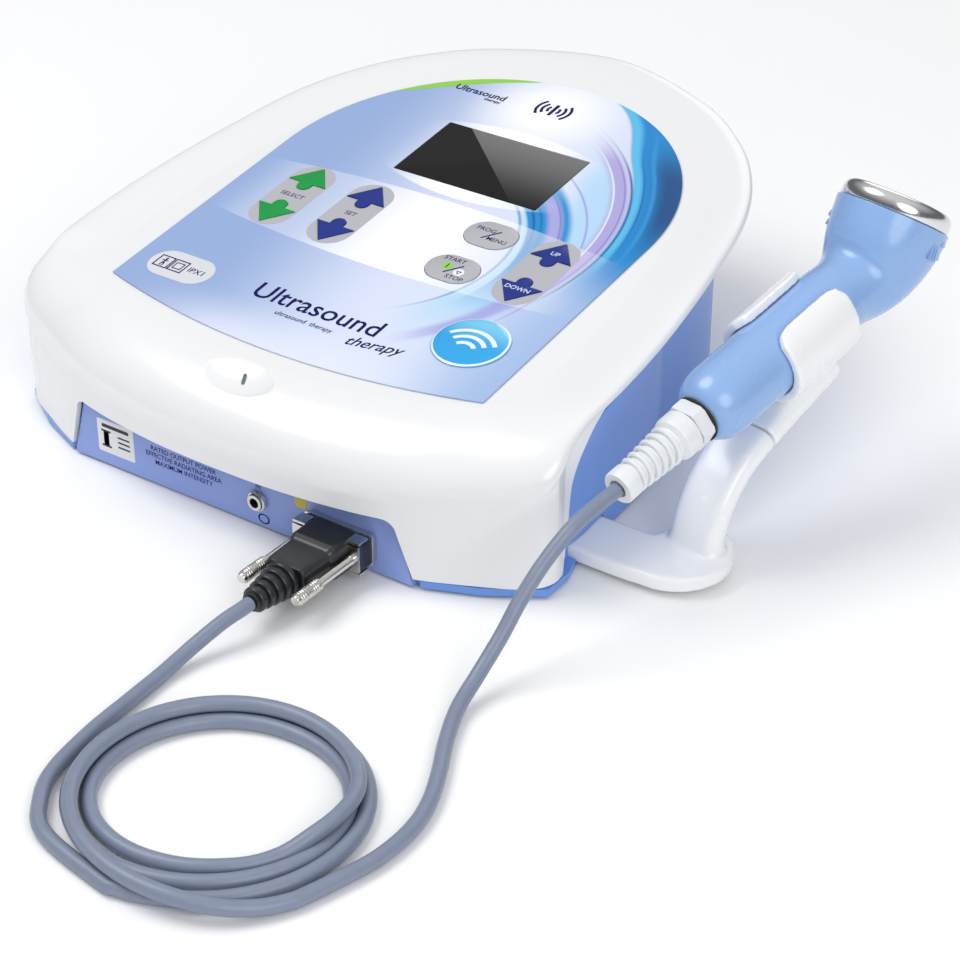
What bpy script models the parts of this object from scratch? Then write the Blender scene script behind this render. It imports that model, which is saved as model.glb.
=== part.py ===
"""Ultrasound therapy device: console, applicator in its holder, and the lead between them.

Metres, +Z up, front of the console towards -Y. Run with Blender 4.5 in the background or
from the text editor. Each object is one physical piece.
"""

import math

import bmesh
import bpy
from mathutils import Matrix, Vector

# ---------------------------------------------------------------- driving dimensions
CONSOLE_X = -0.0353     # console centre plane, measured from the part's origin
CONSOLE_Y = -0.0925     # front corners of the keypad label, measured from the origin

KEYPAD_TILT = math.radians(8.27)
KEYPAD_FRONT_Z = 0.0640         # height of the cover's top plane at y = 0
LABEL_HALF_WIDTH = 0.0903
LABEL_ARCH_Y = 0.1145           # centre of the label's half-round back edge
LABEL_BOW = 0.0122              # how far the label's front edge bows forward

COVER_WALL = 0.0026
COVER_CENTRE = (0.0, 0.090)
# Rings of the cover from its top plane to its lower edge: share of the outline, rise above the plane
COVER_FRONT = ((0.800, 0.0), (0.852, -0.0007), (0.900, -0.0027), (0.941, -0.0059), (0.973, -0.0100),
               (0.993, -0.0148), (1.000, -0.0200), (1.000, -0.0240))
COVER_SIDE = ((0.800, 0.0), (0.865, 0.0006), (0.925, 0.0013), (0.965, 0.0015), (0.988, 0.0011),
              (0.999, 0.0), (1.000, -0.0014), (0.976, -0.0038))
# Lower edge of the cover seen from the side: (y, z) up the front corner, then along the wall
PARTING = ((-0.0022, 0.005), (0.000, 0.015), (0.002, 0.025), (0.004, 0.038), (0.008, 0.0455),
           (0.0145, 0.0530), (0.021, 0.0592), (0.031, 0.0648), (0.045, 0.0678), (0.068, 0.0708),
           (0.250, 0.0973))
SKIRT_Z = 0.0050
LIP_Z = 0.0290                  # lower edge of the front lip
STATIONS = 64

BASE_Z = 0.0012                 # underside of the base; the feet reach z = 0
BASE_FLOOR_Z = 0.0036
BASE_FLANGE_Z = 0.0043
BASE_WALL = 0.0025
BASE_BACK_RADIUS = 0.1055
BASE_BACK_CENTRE_Y = 0.1120
BASE_REAR_FLAT_Y = 0.2100

PANEL_Y = -0.0360               # front face of the connector panel
PANEL_THICK = 0.0026
PANEL_HALF_BOTTOM = 0.0845
PANEL_HALF_TOP = 0.0775
JACK_X = 0.0115
JACK_Z = 0.0125
PLUG_X = 0.0522
PLUG_Z = 0.0120
SCREW_SPREAD = 0.0250           # jackscrew spacing of a nine-way D connector

DISPLAY = (0.0, 0.1362, 0.0715, 0.0415)   # centre x, centre y, width, depth
KEY_ROW_Y = 0.0788
KEY_TRAVEL = 0.0006
KEY_CLEARANCE = 0.0003
ARROW_COLUMNS = {"select": -0.0606, "set": -0.0302, "level": 0.0610}
OVAL_KEYS = {"prog_menu": (0.0305, 0.0920), "start_stop": (0.0305, 0.0653)}
OVAL_KEY_SIZE = (0.0232, 0.0170)
BADGE = (0.0656, 0.0279, 0.0155)          # centre x, centre y, radius

APPLICATOR_AZIMUTH = math.radians(9.5)    # turned from +Y towards +X
GRIP_RISE = math.radians(14.5)
HEAD_RISE = math.radians(56.6)
GRIP_END = (0.1600, 0.0354, 0.0646)       # lower end of the handle, on its axis
GRIP_RADIUS = 0.0144
RIM_RADIUS = 0.0226
HEAD_RADIUS = 0.0218
HEAD_HEIGHT = 0.0080
GLAND_LENGTH = 0.0440

POST_FOOT = (0.1605, 0.0388)
POST_WIDTH = 0.0220
POST_THICK = 0.0095
CLIP_INNER = 0.0150
CLIP_OUTER = 0.0182
CLIP_START = 0.0360                       # along the grip axis from GRIP_END
CLIP_LENGTH = 0.0335
CLIP_OPENING = math.radians(25.0)         # half angle of the slot on top

CORD_RADIUS = 0.0028
COIL_CENTRE = (0.1075, -0.1735)
COIL_INNER = 0.0345
COIL_OUTER = 0.0510
COIL_HEIGHT = 0.0100
GAP = 0.0003


# ---------------------------------------------------------------- building helpers
def clear_scene():
    for obj in list(bpy.data.objects):
        bpy.data.objects.remove(obj, do_unlink=True)


def finish(name, colour, roughness, metallic=0.0):
    mat = bpy.data.materials.get(name) or bpy.data.materials.new(name)
    mat.use_nodes = True
    shader = mat.node_tree.nodes["Principled BSDF"]
    shader.inputs["Base Color"].default_value = (*colour, 1.0)
    shader.inputs["Roughness"].default_value = roughness
    shader.inputs["Metallic"].default_value = metallic
    return mat


def empty(name, matrix, parent=None):
    helper = bpy.data.objects.new(name, None)
    bpy.context.collection.objects.link(helper)
    helper.parent = parent
    helper.matrix_local = matrix
    return helper


def add(name, bm, mat, parent, matrix=None, smooth=True):
    """Links the bmesh as an object of this name under its parent."""
    bmesh.ops.recalc_face_normals(bm, faces=bm.faces)
    mesh = bpy.data.meshes.new(name)
    bm.to_mesh(mesh)
    bm.free()
    if mat:
        mesh.materials.append(mat)
    obj = bpy.data.objects.new(name, mesh)
    bpy.context.collection.objects.link(obj)
    obj.parent = parent
    obj.matrix_local = matrix or Matrix.Identity(4)
    if smooth:
        mesh.shade_smooth()
        mesh.set_sharp_from_angle(angle=math.radians(35))
    return obj


def cutter(name, bm, parent, matrix=None):
    obj = add(name, bm, None, parent, matrix, smooth=False)
    obj.hide_render = True
    obj.display_type = "WIRE"
    return obj


def boolean(obj, other, operation="DIFFERENCE"):
    modifier = obj.modifiers.new(operation.lower(), "BOOLEAN")
    modifier.operation = operation
    modifier.object = other


def loft(rings, capped=True):
    """A closed surface over rings of equal length, each a list of points."""
    bm = bmesh.new()
    rows = [[bm.verts.new(point) for point in ring] for ring in rings]
    count = len(rows[0])
    for low, high in zip(rows, rows[1:]):
        for i in range(count):
            j = (i + 1) % count
            bm.faces.new((low[i], low[j], high[j], high[i]))
    if capped:
        bm.faces.new(rows[0][::-1])
        bm.faces.new(rows[-1])
    return bm


def prism(outline, low, high):
    """An outline of (x, y) points extruded along Z."""
    return loft([[(x, y, low) for x, y in outline], [(x, y, high) for x, y in outline]])


def box(width, depth, height, centre=(0, 0, 0), bevel=0.0):
    bm = bmesh.new()
    bmesh.ops.create_cube(bm, size=1.0)
    bmesh.ops.scale(bm, vec=(width, depth, height), verts=bm.verts)
    if bevel:
        bmesh.ops.bevel(bm, geom=bm.edges, offset=bevel, segments=2, profile=0.5, affect="EDGES")
    bmesh.ops.translate(bm, vec=centre, verts=bm.verts)
    return bm


def turned(profile, segments=32):
    """A solid turned about Z from (radius, height) points that start and end on the axis."""
    bm = bmesh.new()
    verts = [bm.verts.new((radius, 0.0, height)) for radius, height in profile]
    edges = [bm.edges.new(pair) for pair in zip(verts, verts[1:])]
    bmesh.ops.spin(bm, geom=verts + edges, cent=(0, 0, 0), axis=(0, 0, 1),
                   angle=math.tau, steps=segments, use_merge=True)
    bmesh.ops.remove_doubles(bm, verts=bm.verts, dist=1e-6)
    return bm


def ring_solid(profile, segments=32):
    """A solid turned about Z from a closed outline that stays clear of the axis."""
    bm = bmesh.new()
    verts = [bm.verts.new((radius, 0.0, height)) for radius, height in profile]
    edges = [bm.edges.new((a, b)) for a, b in zip(verts, verts[1:] + verts[:1])]
    bmesh.ops.spin(bm, geom=verts + edges, cent=(0, 0, 0), axis=(0, 0, 1),
                   angle=math.tau, steps=segments, use_merge=True)
    bmesh.ops.remove_doubles(bm, verts=bm.verts, dist=1e-6)
    return bm


def capsule(width, depth, steps=8, centre=(0.0, 0.0)):
    """A pill outline, its round ends on the longer side."""
    radius = min(width, depth) / 2
    reach = max(width, depth) / 2 - radius
    points = []
    for end, start in ((1, -math.pi / 2), (-1, math.pi / 2)):
        for i in range(steps + 1):
            angle = start + math.pi * i / steps
            points.append((end * reach + radius * math.cos(angle), radius * math.sin(angle)))
    if depth > width:
        points = [(-y, x) for x, y in points]
    return [(x + centre[0], y + centre[1]) for x, y in points]


def rounded(width, depth, radius, steps=4, centre=(0.0, 0.0)):
    points = []
    for sx, sy, start in ((1, -1, -90), (1, 1, 0), (-1, 1, 90), (-1, -1, 180)):
        for i in range(steps + 1):
            angle = math.radians(start + 90 * i / steps)
            points.append((centre[0] + sx * (width / 2 - radius) + radius * math.cos(angle),
                           centre[1] + sy * (depth / 2 - radius) + radius * math.sin(angle)))
    return points


def spline(points, count, closed=False):
    """Evenly stepped points on a Catmull-Rom curve through the given ones."""
    points = [Vector(p) for p in points]
    spans = len(points) if closed else len(points) - 1
    found = []
    for k in range(count):
        at = k * spans / (count if closed else count - 1)
        i = min(int(at), spans - 1)
        t = at - i
        if closed:
            p0, p1, p2, p3 = (points[(i + o) % len(points)] for o in (-1, 0, 1, 2))
        else:
            p1, p2 = points[i], points[i + 1]
            p0 = points[i - 1] if i else p1 * 2 - p2
            p3 = points[i + 2] if i + 2 < len(points) else p2 * 2 - p1
        found.append(0.5 * (2 * p1 + (p2 - p0) * t + (2 * p0 - 5 * p1 + 4 * p2 - p3) * t * t
                            + (3 * p1 - p0 - 3 * p2 + p3) * t ** 3))
    return found


def even(points, spacing):
    """The same curve with points a given distance apart."""
    total = sum((b - a).length for a, b in zip(points, points[1:]))
    count = max(2, round(total / spacing) + 1)
    found = [points[0]]
    want = total / (count - 1)
    walked = 0.0
    for a, b in zip(points, points[1:]):
        step = (b - a).length
        while walked + step >= want * len(found) - 1e-9 and len(found) < count:
            found.append(a.lerp(b, (want * len(found) - walked) / step))
        walked += step
    return found


def smoothstep(low, high, value):
    t = min(1.0, max(0.0, (value - low) / (high - low)))
    return t * t * (3 - 2 * t)


def along(axis, origin):
    """A frame at origin whose Z runs along axis and whose Y stays as upright as it can."""
    z = Vector(axis).normalized()
    y = (Vector((0, 0, 1)) - z * z.z).normalized()
    x = y.cross(z)
    return Matrix.Translation(origin) @ Matrix((x, y, z)).transposed().to_4x4()


# ---------------------------------------------------------------- console outlines
def mirrored(half):
    """A closed outline from its right half, which runs from the front centre to the back."""
    return half + [(-x, y) for x, y in reversed(half) if x > 1e-9]


def cover_outline():
    half = [(0.0, -0.0480), (0.030, -0.0470), (0.060, -0.0430), (0.084, -0.0368), (0.106, -0.0272),
            (0.1225, -0.0188), (0.1298, -0.0100), (0.1292, 0.004), (0.1300, 0.028), (0.1288, 0.057),
            (0.1257, 0.085), (0.1214, 0.112), (0.1142, 0.1455), (0.1022, 0.1725), (0.0830, 0.1965),
            (0.0525, 0.2180), (0.0, 0.2330)]
    return [(p.x, p.y) for p in spline([(x, y, 0) for x, y in mirrored(half)], STATIONS, closed=True)]


def base_outline(flange=False):
    """The base wall seen from above, or the flange that closes the skirt at the front corners."""
    rows = [((0.0, -0.0330), None), ((0.040, -0.0330), None), ((0.0826, -0.0330), (0.0848, -0.0330)),
            ((0.0850, -0.0322), (0.0868, -0.0350)), ((0.104, -0.0245), (0.1080, -0.0262)),
            ((0.1215, -0.0140), (0.1285, -0.0130)), ((0.1222, 0.003), (0.1285, 0.0005)),
            ((0.1226, 0.020), None), ((0.1208, 0.040), None), ((0.1172, 0.078), None)]
    half = [outer if flange and outer else wall for wall, outer in rows]
    for degrees in (-5, 9, 23, 37, 51):
        angle = math.radians(degrees)
        half.append((BASE_BACK_RADIUS * math.cos(angle),
                     BASE_BACK_CENTRE_Y + BASE_BACK_RADIUS * math.sin(angle)))
    half += [(0.040, BASE_REAR_FLAT_Y), (0.0, BASE_REAR_FLAT_Y)]
    return mirrored(half)


def offset(outline, distance):
    """The outline moved inwards (positive) along its own normals."""
    count = len(outline)
    found = []
    for i, (x, y) in enumerate(outline):
        ax, ay = outline[i - 1]
        bx, by = outline[(i + 1) % count]
        length = math.hypot(bx - ax, by - ay)
        found.append((x - (by - ay) / length * distance, y + (bx - ax) / length * distance))
    return found


def plane_z(y):
    return KEYPAD_FRONT_Z + y * math.tan(KEYPAD_TILT)


def cover_ring(outline, level, inset=0.0):
    """One ring of the cover's skin, from level 0 on its top plane to the last at its lower edge."""
    ring = []
    cx, cy = COVER_CENTRE
    front, side = COVER_FRONT[level], COVER_SIDE[level]
    for x, y in outline:
        sides = smoothstep(-0.030, 0.014, y)
        reach = front[0] + (side[0] - front[0]) * sides
        px, py = cx + (x - cx) * reach, cy + (y - cy) * reach
        ring.append((px, py, plane_z(py) + front[1] + (side[1] - front[1]) * sides - inset))
    return ring


def label_outline(half_width, arch, bow, steps=14):
    points = [(-half_width + 2 * half_width * i / 10,
               -bow * (1 - (2 * i / 10 - 1) ** 2)) for i in range(11)]
    for i in range(steps + 1):
        angle = math.pi * i / steps
        points.append((half_width * math.cos(angle), arch + half_width * math.sin(angle)))
    return points


def arrow_outline(direction, grow=0.0):
    """The outline of an arrow key about its column's centre, 1 up or -1 down."""
    tip, shoulder, tail = 0.0219 + grow, 0.0099 - grow, 0.0049 - grow
    head, stem = 0.0094 + grow * 1.8, 0.0032 + grow
    points = [(0.0, tip), (-head, shoulder), (-stem, shoulder)]
    for i in range(5):
        angle = math.pi + math.pi * i / 4
        points.append((stem * math.cos(angle), tail + stem + stem * math.sin(angle)))
    points += [(stem, shoulder), (head, shoulder)]
    return [(x, direction * y) for x, y in points]


# ---------------------------------------------------------------- console shells
def make_top_cover(console, keypad, white):
    outline = cover_outline()
    levels = range(len(COVER_SIDE))
    rings = [cover_ring(outline, level) for level in levels]
    rings.append([(x, y, SKIRT_Z) for x, y, z in rings[-1]])
    cover = add("top_cover", loft(rings), white, console)
    inner = offset(outline, COVER_WALL)
    hollow = [cover_ring(inner, level, COVER_WALL) for level in levels]
    hollow.append([(x, y, SKIRT_Z - 0.01) for x, y, z in hollow[-1]])
    boolean(cover, cutter("cover_hollow", loft(hollow), console))
    side = [(-0.0022, -0.02)] + list(PARTING) + [(0.250, -0.02)]
    turn = Matrix(((0, 0, 1, 0), (1, 0, 0, 0), (0, 1, 0, 0), (0, 0, 0, 1)))
    boolean(cover, cutter("cover_side_sweep", prism(side, -0.2, 0.2), console, turn))
    mouth = panel_outline(LIP_Z, 0.0012, -0.02)
    front = Matrix.Translation((0, -0.030, 0)) @ Matrix.Rotation(math.pi / 2, 4, "X")
    boolean(cover, cutter("cover_front_mouth", prism(mouth, 0.0, 0.05), console, front))
    cx, cy, width, depth = DISPLAY
    boolean(cover, cutter("display_hole", prism(rounded(width - 0.003, depth - 0.003, 0.001, 2, (cx, cy)),
                                                -0.02, 0.02), keypad))
    for name, column in ARROW_COLUMNS.items():
        slot = capsule(0.0220, 0.0462, 6, (column, KEY_ROW_Y))
        boolean(cover, cutter(f"{name}_slot", prism(slot, -0.02, 0.02), keypad))
    for name, centre in OVAL_KEYS.items():
        slot = capsule(OVAL_KEY_SIZE[0] + 0.0012, OVAL_KEY_SIZE[1] + 0.0012, 6, centre)
        boolean(cover, cutter(f"{name}_slot", prism(slot, -0.02, 0.02), keypad))
    lamp = Matrix.Translation((0.0005, -0.0295, plane_z(-0.0295)))
    boolean(cover, cutter("lamp_hole", turned([(0, -0.02), (0.0021, -0.02), (0.0021, 0.02), (0, 0.02)], 12),
                          console, lamp))


def panel_outline(top, grow, bottom):
    """The connector panel seen from the front: slanted sides and rounded top corners."""
    radius = 0.006
    points = [(-PANEL_HALF_BOTTOM - grow, bottom), (PANEL_HALF_BOTTOM + grow, bottom),
              (PANEL_HALF_BOTTOM + grow, BASE_Z)]
    for i in range(5):
        angle = math.radians(10 + 80 * i / 4)
        points.append((PANEL_HALF_TOP + grow - radius + radius * math.cos(angle),
                       top - radius + radius * math.sin(angle)))
    left = [(-x, y) for x, y in reversed(points[2:])]
    return points + left


def make_front_panel(console, blue):
    outline = panel_outline(LIP_Z + 0.004, -0.0006, BASE_Z)
    place = Matrix.Translation((0, PANEL_Y + PANEL_THICK, 0)) @ Matrix.Rotation(math.pi / 2, 4, "X")
    panel = add("front_panel", prism(outline[:2] + outline[3:-1], 0.0, PANEL_THICK), blue, console, place)
    jack = Matrix.Translation((JACK_X, 0, JACK_Z)) @ Matrix.Rotation(math.pi / 2, 4, "X")
    hole = turned([(0, -0.05), (0.0035, -0.05), (0.0035, 0.05), (0, 0.05)], 20)
    boolean(panel, cutter("jack_hole", hole, console, jack))
    boolean(panel, cutter("serial_hole", box(0.0194, 0.05, 0.0110, (PLUG_X, PANEL_Y, PLUG_Z)), console))


def make_base_housing(console, blue):
    wall = base_outline()
    flange = base_outline(flange=True)

    def top_z(y):
        high = plane_z(y) - 0.0034 - 0.0120 * (1 - smoothstep(0.010, 0.060, y))
        return 0.0300 + (high - 0.0300) * smoothstep(-0.012, 0.003, y)

    inner = offset(wall, BASE_WALL)
    rings = [[(x, y, BASE_Z) for x, y in flange], [(x, y, BASE_FLANGE_Z) for x, y in flange],
             [(x, y, BASE_FLANGE_Z + 0.0004) for x, y in wall], [(x, y, top_z(y)) for x, y in wall],
             [(x, y, top_z(y)) for x, y in inner], [(x, y, BASE_FLOOR_Z) for x, y in inner]]
    base = add("base_housing", loft(rings), blue, console)
    boolean(base, cutter("base_jack_hole", box(0.0110, 0.012, 0.0110, (JACK_X, -0.032, JACK_Z)), console))
    boolean(base, cutter("base_serial_hole", box(0.0200, 0.012, 0.0116, (PLUG_X, -0.032, PLUG_Z)), console))
    for name, (x, z, width, height) in REAR_CUTS.items():
        boolean(base, cutter(f"{name}_hole", box(width, 0.02, height, (x, BASE_REAR_FLAT_Y, z)), console))
    boolean(base, cutter("arm_slot", box(0.030, 0.0262, 0.0072, (0.112, 0.0225, 0.0056)), console))


REAR_CUTS = {"inlet": (-0.012, 0.034, 0.0286, 0.0326), "switch": (0.021, 0.034, 0.0136, 0.0196)}


def add_stem(key, keypad, place):
    """The plunger under a key, which ends just above its switch on the board."""
    stem = turned([(0, -0.0084), (0.0018, -0.0084), (0.0022, 0.0006), (0, 0.0006)], 12)
    boolean(key, cutter("key_stem", stem, keypad, place), "UNION")


def make_keypad(keypad, label_mat, glass, grey, green, navy):
    overlay = add("keypad_overlay", prism(label_outline(LABEL_HALF_WIDTH, LABEL_ARCH_Y, LABEL_BOW), 0.0003, 0.0008),
                  label_mat, keypad)
    cx, cy, width, depth = DISPLAY
    boolean(overlay, cutter("overlay_window", prism(rounded(width, depth, 0.001, 2, (cx, cy)), -0.01, 0.01), keypad))
    window = rounded(width - 2 * GAP, depth - 2 * GAP, 0.001, 2, (cx, cy))
    add("display_window", prism(window, 0.0003, 0.0010), glass, keypad)
    for name, column in ARROW_COLUMNS.items():
        key_mat = green if name == "select" else navy
        for side, direction in (("up", 1), ("down", -1)):
            centre = Matrix.Translation((column, KEY_ROW_Y, 0))
            hole = prism(arrow_outline(direction, KEY_CLEARANCE), -0.01, 0.01)
            boolean(overlay, cutter(f"{name}_{side}_hole", hole, keypad, centre))
            key = add(f"{name}_{side}_key", prism(arrow_outline(direction), -0.0002, 0.0015), key_mat, keypad, centre)
            add_stem(key, keypad, centre @ Matrix.Translation((0, direction * 0.0120, 0)))
    for name, centre in OVAL_KEYS.items():
        place = Matrix.Translation((*centre, 0))
        width, depth = OVAL_KEY_SIZE
        hole = prism(capsule(width + 2 * KEY_CLEARANCE, depth + 2 * KEY_CLEARANCE), -0.01, 0.01)
        boolean(overlay, cutter(f"{name}_hole", hole, keypad, place))
        key = add(f"{name}_key", prism(capsule(width, depth), -0.0002, 0.0013), grey, keypad, place)
        add_stem(key, keypad, place)
    x, y, radius = BADGE
    add("badge", turned([(0, 0.0011), (radius, 0.0011), (radius, 0.0016), (radius * 0.7, 0.0022), (0, 0.0025)], 40),
        navy, keypad, Matrix.Translation((x, y, 0)))


def make_electronics(console, keypad, green_board, black, metal, grey):
    cx, cy, width, depth = DISPLAY
    add("lcd_module", box(0.0640, 0.0360, 0.0050, (cx, cy, -0.0062)), black, keypad)
    board = box(0.150, 0.142, 0.0016, (0, 0.088, -0.0102))
    add("keypad_board", board, green_board, keypad)
    add("main_board", box(0.100, 0.110, 0.0016, (-0.0435, 0.085, 0.0130)), green_board, console)
    add("transformer", box(0.052, 0.046, 0.036, (0.0350, 0.145, 0.0240), 0.002), metal, console)
    add("output_heatsink", box(0.060, 0.012, 0.022, (-0.035, 0.120, 0.0256)), metal, console)
    add("buzzer", turned([(0, 0), (0.0060, 0), (0.0060, 0.0080), (0, 0.0080)], 20), black, console,
        Matrix.Translation((0.005, 0.050, 0.0142)))
    add("ribbon_cable", box(0.0010, 0.024, 0.0440, (-0.030, 0.088, 0.0371)), grey, console)
    lamp = Matrix.Translation((0.0005, -0.0295, plane_z(-0.0295) - 0.0088))
    profile = [(0, 0), (0.0026, 0), (0.0026, 0.0016), (0.0016, 0.0016), (0.0016, 0.0058), (0, 0.0070)]
    add("indicator_light", turned(profile, 16), finish("lamp_lens", (0.05, 0.28, 0.30), 0.3), console, lamp)


def make_rear(console, black, metal, red):
    x, z, width, height = REAR_CUTS["inlet"]
    back = Matrix.Translation((x, BASE_REAR_FLAT_Y + GAP, z)) @ Matrix.Rotation(-math.pi / 2, 4, "X")
    inlet = add("mains_inlet", prism(rounded(0.0460, 0.0365, 0.003), 0.0, 0.0022), black, console, back)
    body = box(width - 0.0008, height - 0.0008, 0.0200, (0, 0, -0.0099))
    boolean(inlet, cutter("inlet_body", body, console, back), "UNION")
    cup = prism(rounded(0.0245, 0.0170, 0.0035, 3, (0, 0.0050)), -0.0160, 0.01)
    boolean(inlet, cutter("inlet_cup", cup, console, back))
    for px, py in ((-0.007, 0.0035), (0.0, 0.0070), (0.007, 0.0035)):
        pin = box(0.0022, 0.0040, 0.0130, (px, py, -0.0110))
        boolean(inlet, cutter("inlet_pin", pin, console, back), "UNION")
    boolean(inlet, cutter("fuse_pocket", box(0.0226, 0.0076, 0.0300, (0, -0.0098, -0.0010)), console, back))
    add("fuse_drawer", box(0.0220, 0.0070, 0.0170, (0, -0.0098, -0.0052)), black, console, back)

    x, z, width, height = REAR_CUTS["switch"]
    back = Matrix.Translation((x, BASE_REAR_FLAT_Y + GAP, z)) @ Matrix.Rotation(-math.pi / 2, 4, "X")
    frame = add("switch_frame", prism(rounded(0.0160, 0.0220, 0.0015), 0.0, 0.0020), black, console, back)
    boolean(frame, cutter("switch_body", box(width - 0.0008, height - 0.0008, 0.012, (0, 0, -0.0059)), console, back),
            "UNION")
    boolean(frame, cutter("switch_well", box(0.0106, 0.0166, 0.0200, (0, 0, 0.0010)), console, back))
    pivot = back @ Matrix.Translation((0, 0, -0.0022))
    rocker = prism([(-0.0072, 0.0048), (-0.0062, -0.0030), (0.0062, -0.0030), (0.0074, 0.0030), (0.0, 0.0030)],
                   -0.0050, 0.0050)
    side = Matrix(((0, 0, 1, 0), (1, 0, 0, 0), (0, 1, 0, 0), (0, 0, 0, 1)))
    add("power_rocker", rocker, red, console, pivot @ side)


def make_fasteners(console, rubber, steel):
    places = [(x, y) for x in (-0.078, 0.078) for y in (-0.012, 0.160)]
    for index, (x, y) in enumerate(places, start=1):
        foot = turned([(0, 0), (0.0075, 0), (0.0082, 0.0008), (0.0082, BASE_Z - GAP), (0, BASE_Z - GAP)], 24)
        add(f"foot_{index}", foot, rubber, console, Matrix.Translation((x, y, 0)))
        post = Matrix.Translation((x * 0.86, y * 0.90 + 0.012, BASE_FLOOR_Z + GAP))
        profile = [(0, 0), (0.0032, 0), (0.0032, 0.0018), (0.0014, 0.0018), (0.0014, 0.0160), (0, 0.0170)]
        add(f"case_screw_{index}", turned(profile, 16), steel, console, post)


# ---------------------------------------------------------------- front connectors
def make_jack(console, nickel, black):
    face = Matrix.Translation((JACK_X, PANEL_Y, JACK_Z)) @ Matrix.Rotation(math.pi / 2, 4, "X")
    sleeve = ring_solid([(0.0021, -0.0140), (0.0033, -0.0140), (0.0033, 0.0030), (0.0021, 0.0030)], 24)
    add("jack_socket", sleeve, nickel, console, face)
    nut = ring_solid([(0.0035, GAP), (0.0044, GAP), (0.0042, 0.0018), (0.0035, 0.0022)], 24)
    add("jack_nut", nut, nickel, console, face)


def d_shape(width, height, radius=0.0022):
    """The D outline of the connector: the lower side shorter than the upper one."""
    lean = height * math.tan(math.radians(10))
    corners = ((width / 2 - lean, -height / 2), (width / 2, height / 2),
               (-width / 2, height / 2), (-width / 2 + lean, -height / 2))
    points = []
    for i, corner in enumerate(corners):
        here, last, ahead = Vector(corner), Vector(corners[i - 1]), Vector(corners[(i + 1) % 4])
        start = here + (last - here).normalized() * radius
        end = here + (ahead - here).normalized() * radius
        for t in (0.0, 0.33, 0.67, 1.0):
            points.append(tuple(start * (1 - t) ** 2 + here * 2 * t * (1 - t) + end * t * t))
    return points


def make_serial_plug(console, nickel, black, steel):
    face = Matrix.Translation((PLUG_X, PANEL_Y, PLUG_Z)) @ Matrix.Rotation(math.pi / 2, 4, "X")
    socket = add("serial_socket", prism(rounded(0.0308, 0.0125, 0.0015), GAP, 0.0012), nickel, console, face)
    boolean(socket, cutter("serial_shell", prism(d_shape(0.0170, 0.0084), -0.0080, 0.0066), console, face), "UNION")
    flange = prism(rounded(0.0308, 0.0125, 0.0015), 0.0015, 0.0025)
    connector = add("plug_connector", flange, nickel, console, face)
    boolean(connector, cutter("plug_mouth", prism(d_shape(0.0177, 0.0091), -0.01, 0.01), console, face))

    hood_rings = []
    stations = ((0.0028, 0.0310, 0.0125), (0.0092, 0.0310, 0.0125), (0.0096, 0.0210, 0.0142),
                (0.0178, 0.0205, 0.0142), (0.0200, 0.0188, 0.0124), (0.0348, 0.0182, 0.0120))
    for reach, width, height in stations:
        hood_rings.append([(x, y, reach) for x, y in rounded(width, height, 0.0022, 3)])
    hood = add("plug_hood", loft(hood_rings), black, console, face)
    boolean(hood, cutter("hood_mouth", prism(d_shape(0.0177, 0.0091), -0.01, 0.0075), console, face))
    for side in (-1, 1):
        notch = box(0.0040, 0.0050, 0.0300, (side * SCREW_SPREAD / 2, 0, 0.0168))
        boolean(hood, cutter("hood_notch", notch, console, face))

    ribs = [(0.0, 0.0351)]
    for k in range(5):
        radius = 0.0062 - 0.0005 * k
        low = 0.0351 + 0.0038 * k
        ribs += [(radius, low), (radius, low + 0.0024), (radius - 0.0011, low + 0.0025), (radius - 0.0011, low + 0.0038)]
    ribs.append((0.0, 0.0351 + 0.0190))
    add("plug_strain_relief", turned(ribs, 20), black, console, face)

    for side, word in ((-1, "left"), (1, "right")):
        spot = face @ Matrix.Translation((side * SCREW_SPREAD / 2, 0, 0))
        shaft = [(0, 0.0032), (0.0013, 0.0032), (0.0013, 0.0110), (0.0019, 0.0110), (0.0019, 0.0305),
                 (0.0024, 0.0310), (0.0024, 0.0440), (0.0019, 0.0445), (0, 0.0445)]
        add(f"thumbscrew_{word}", turned(shaft, 16), steel, console, spot)
        saddle = add(f"saddle_{word}", box(0.0040, 0.0100, 0.0010, (0, 0, 0.0105)), steel, console, spot)
        boolean(saddle, cutter("saddle_hole", turned([(0, 0), (0.0017, 0), (0.0017, 0.02), (0, 0.02)], 12),
                               console, spot))


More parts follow.
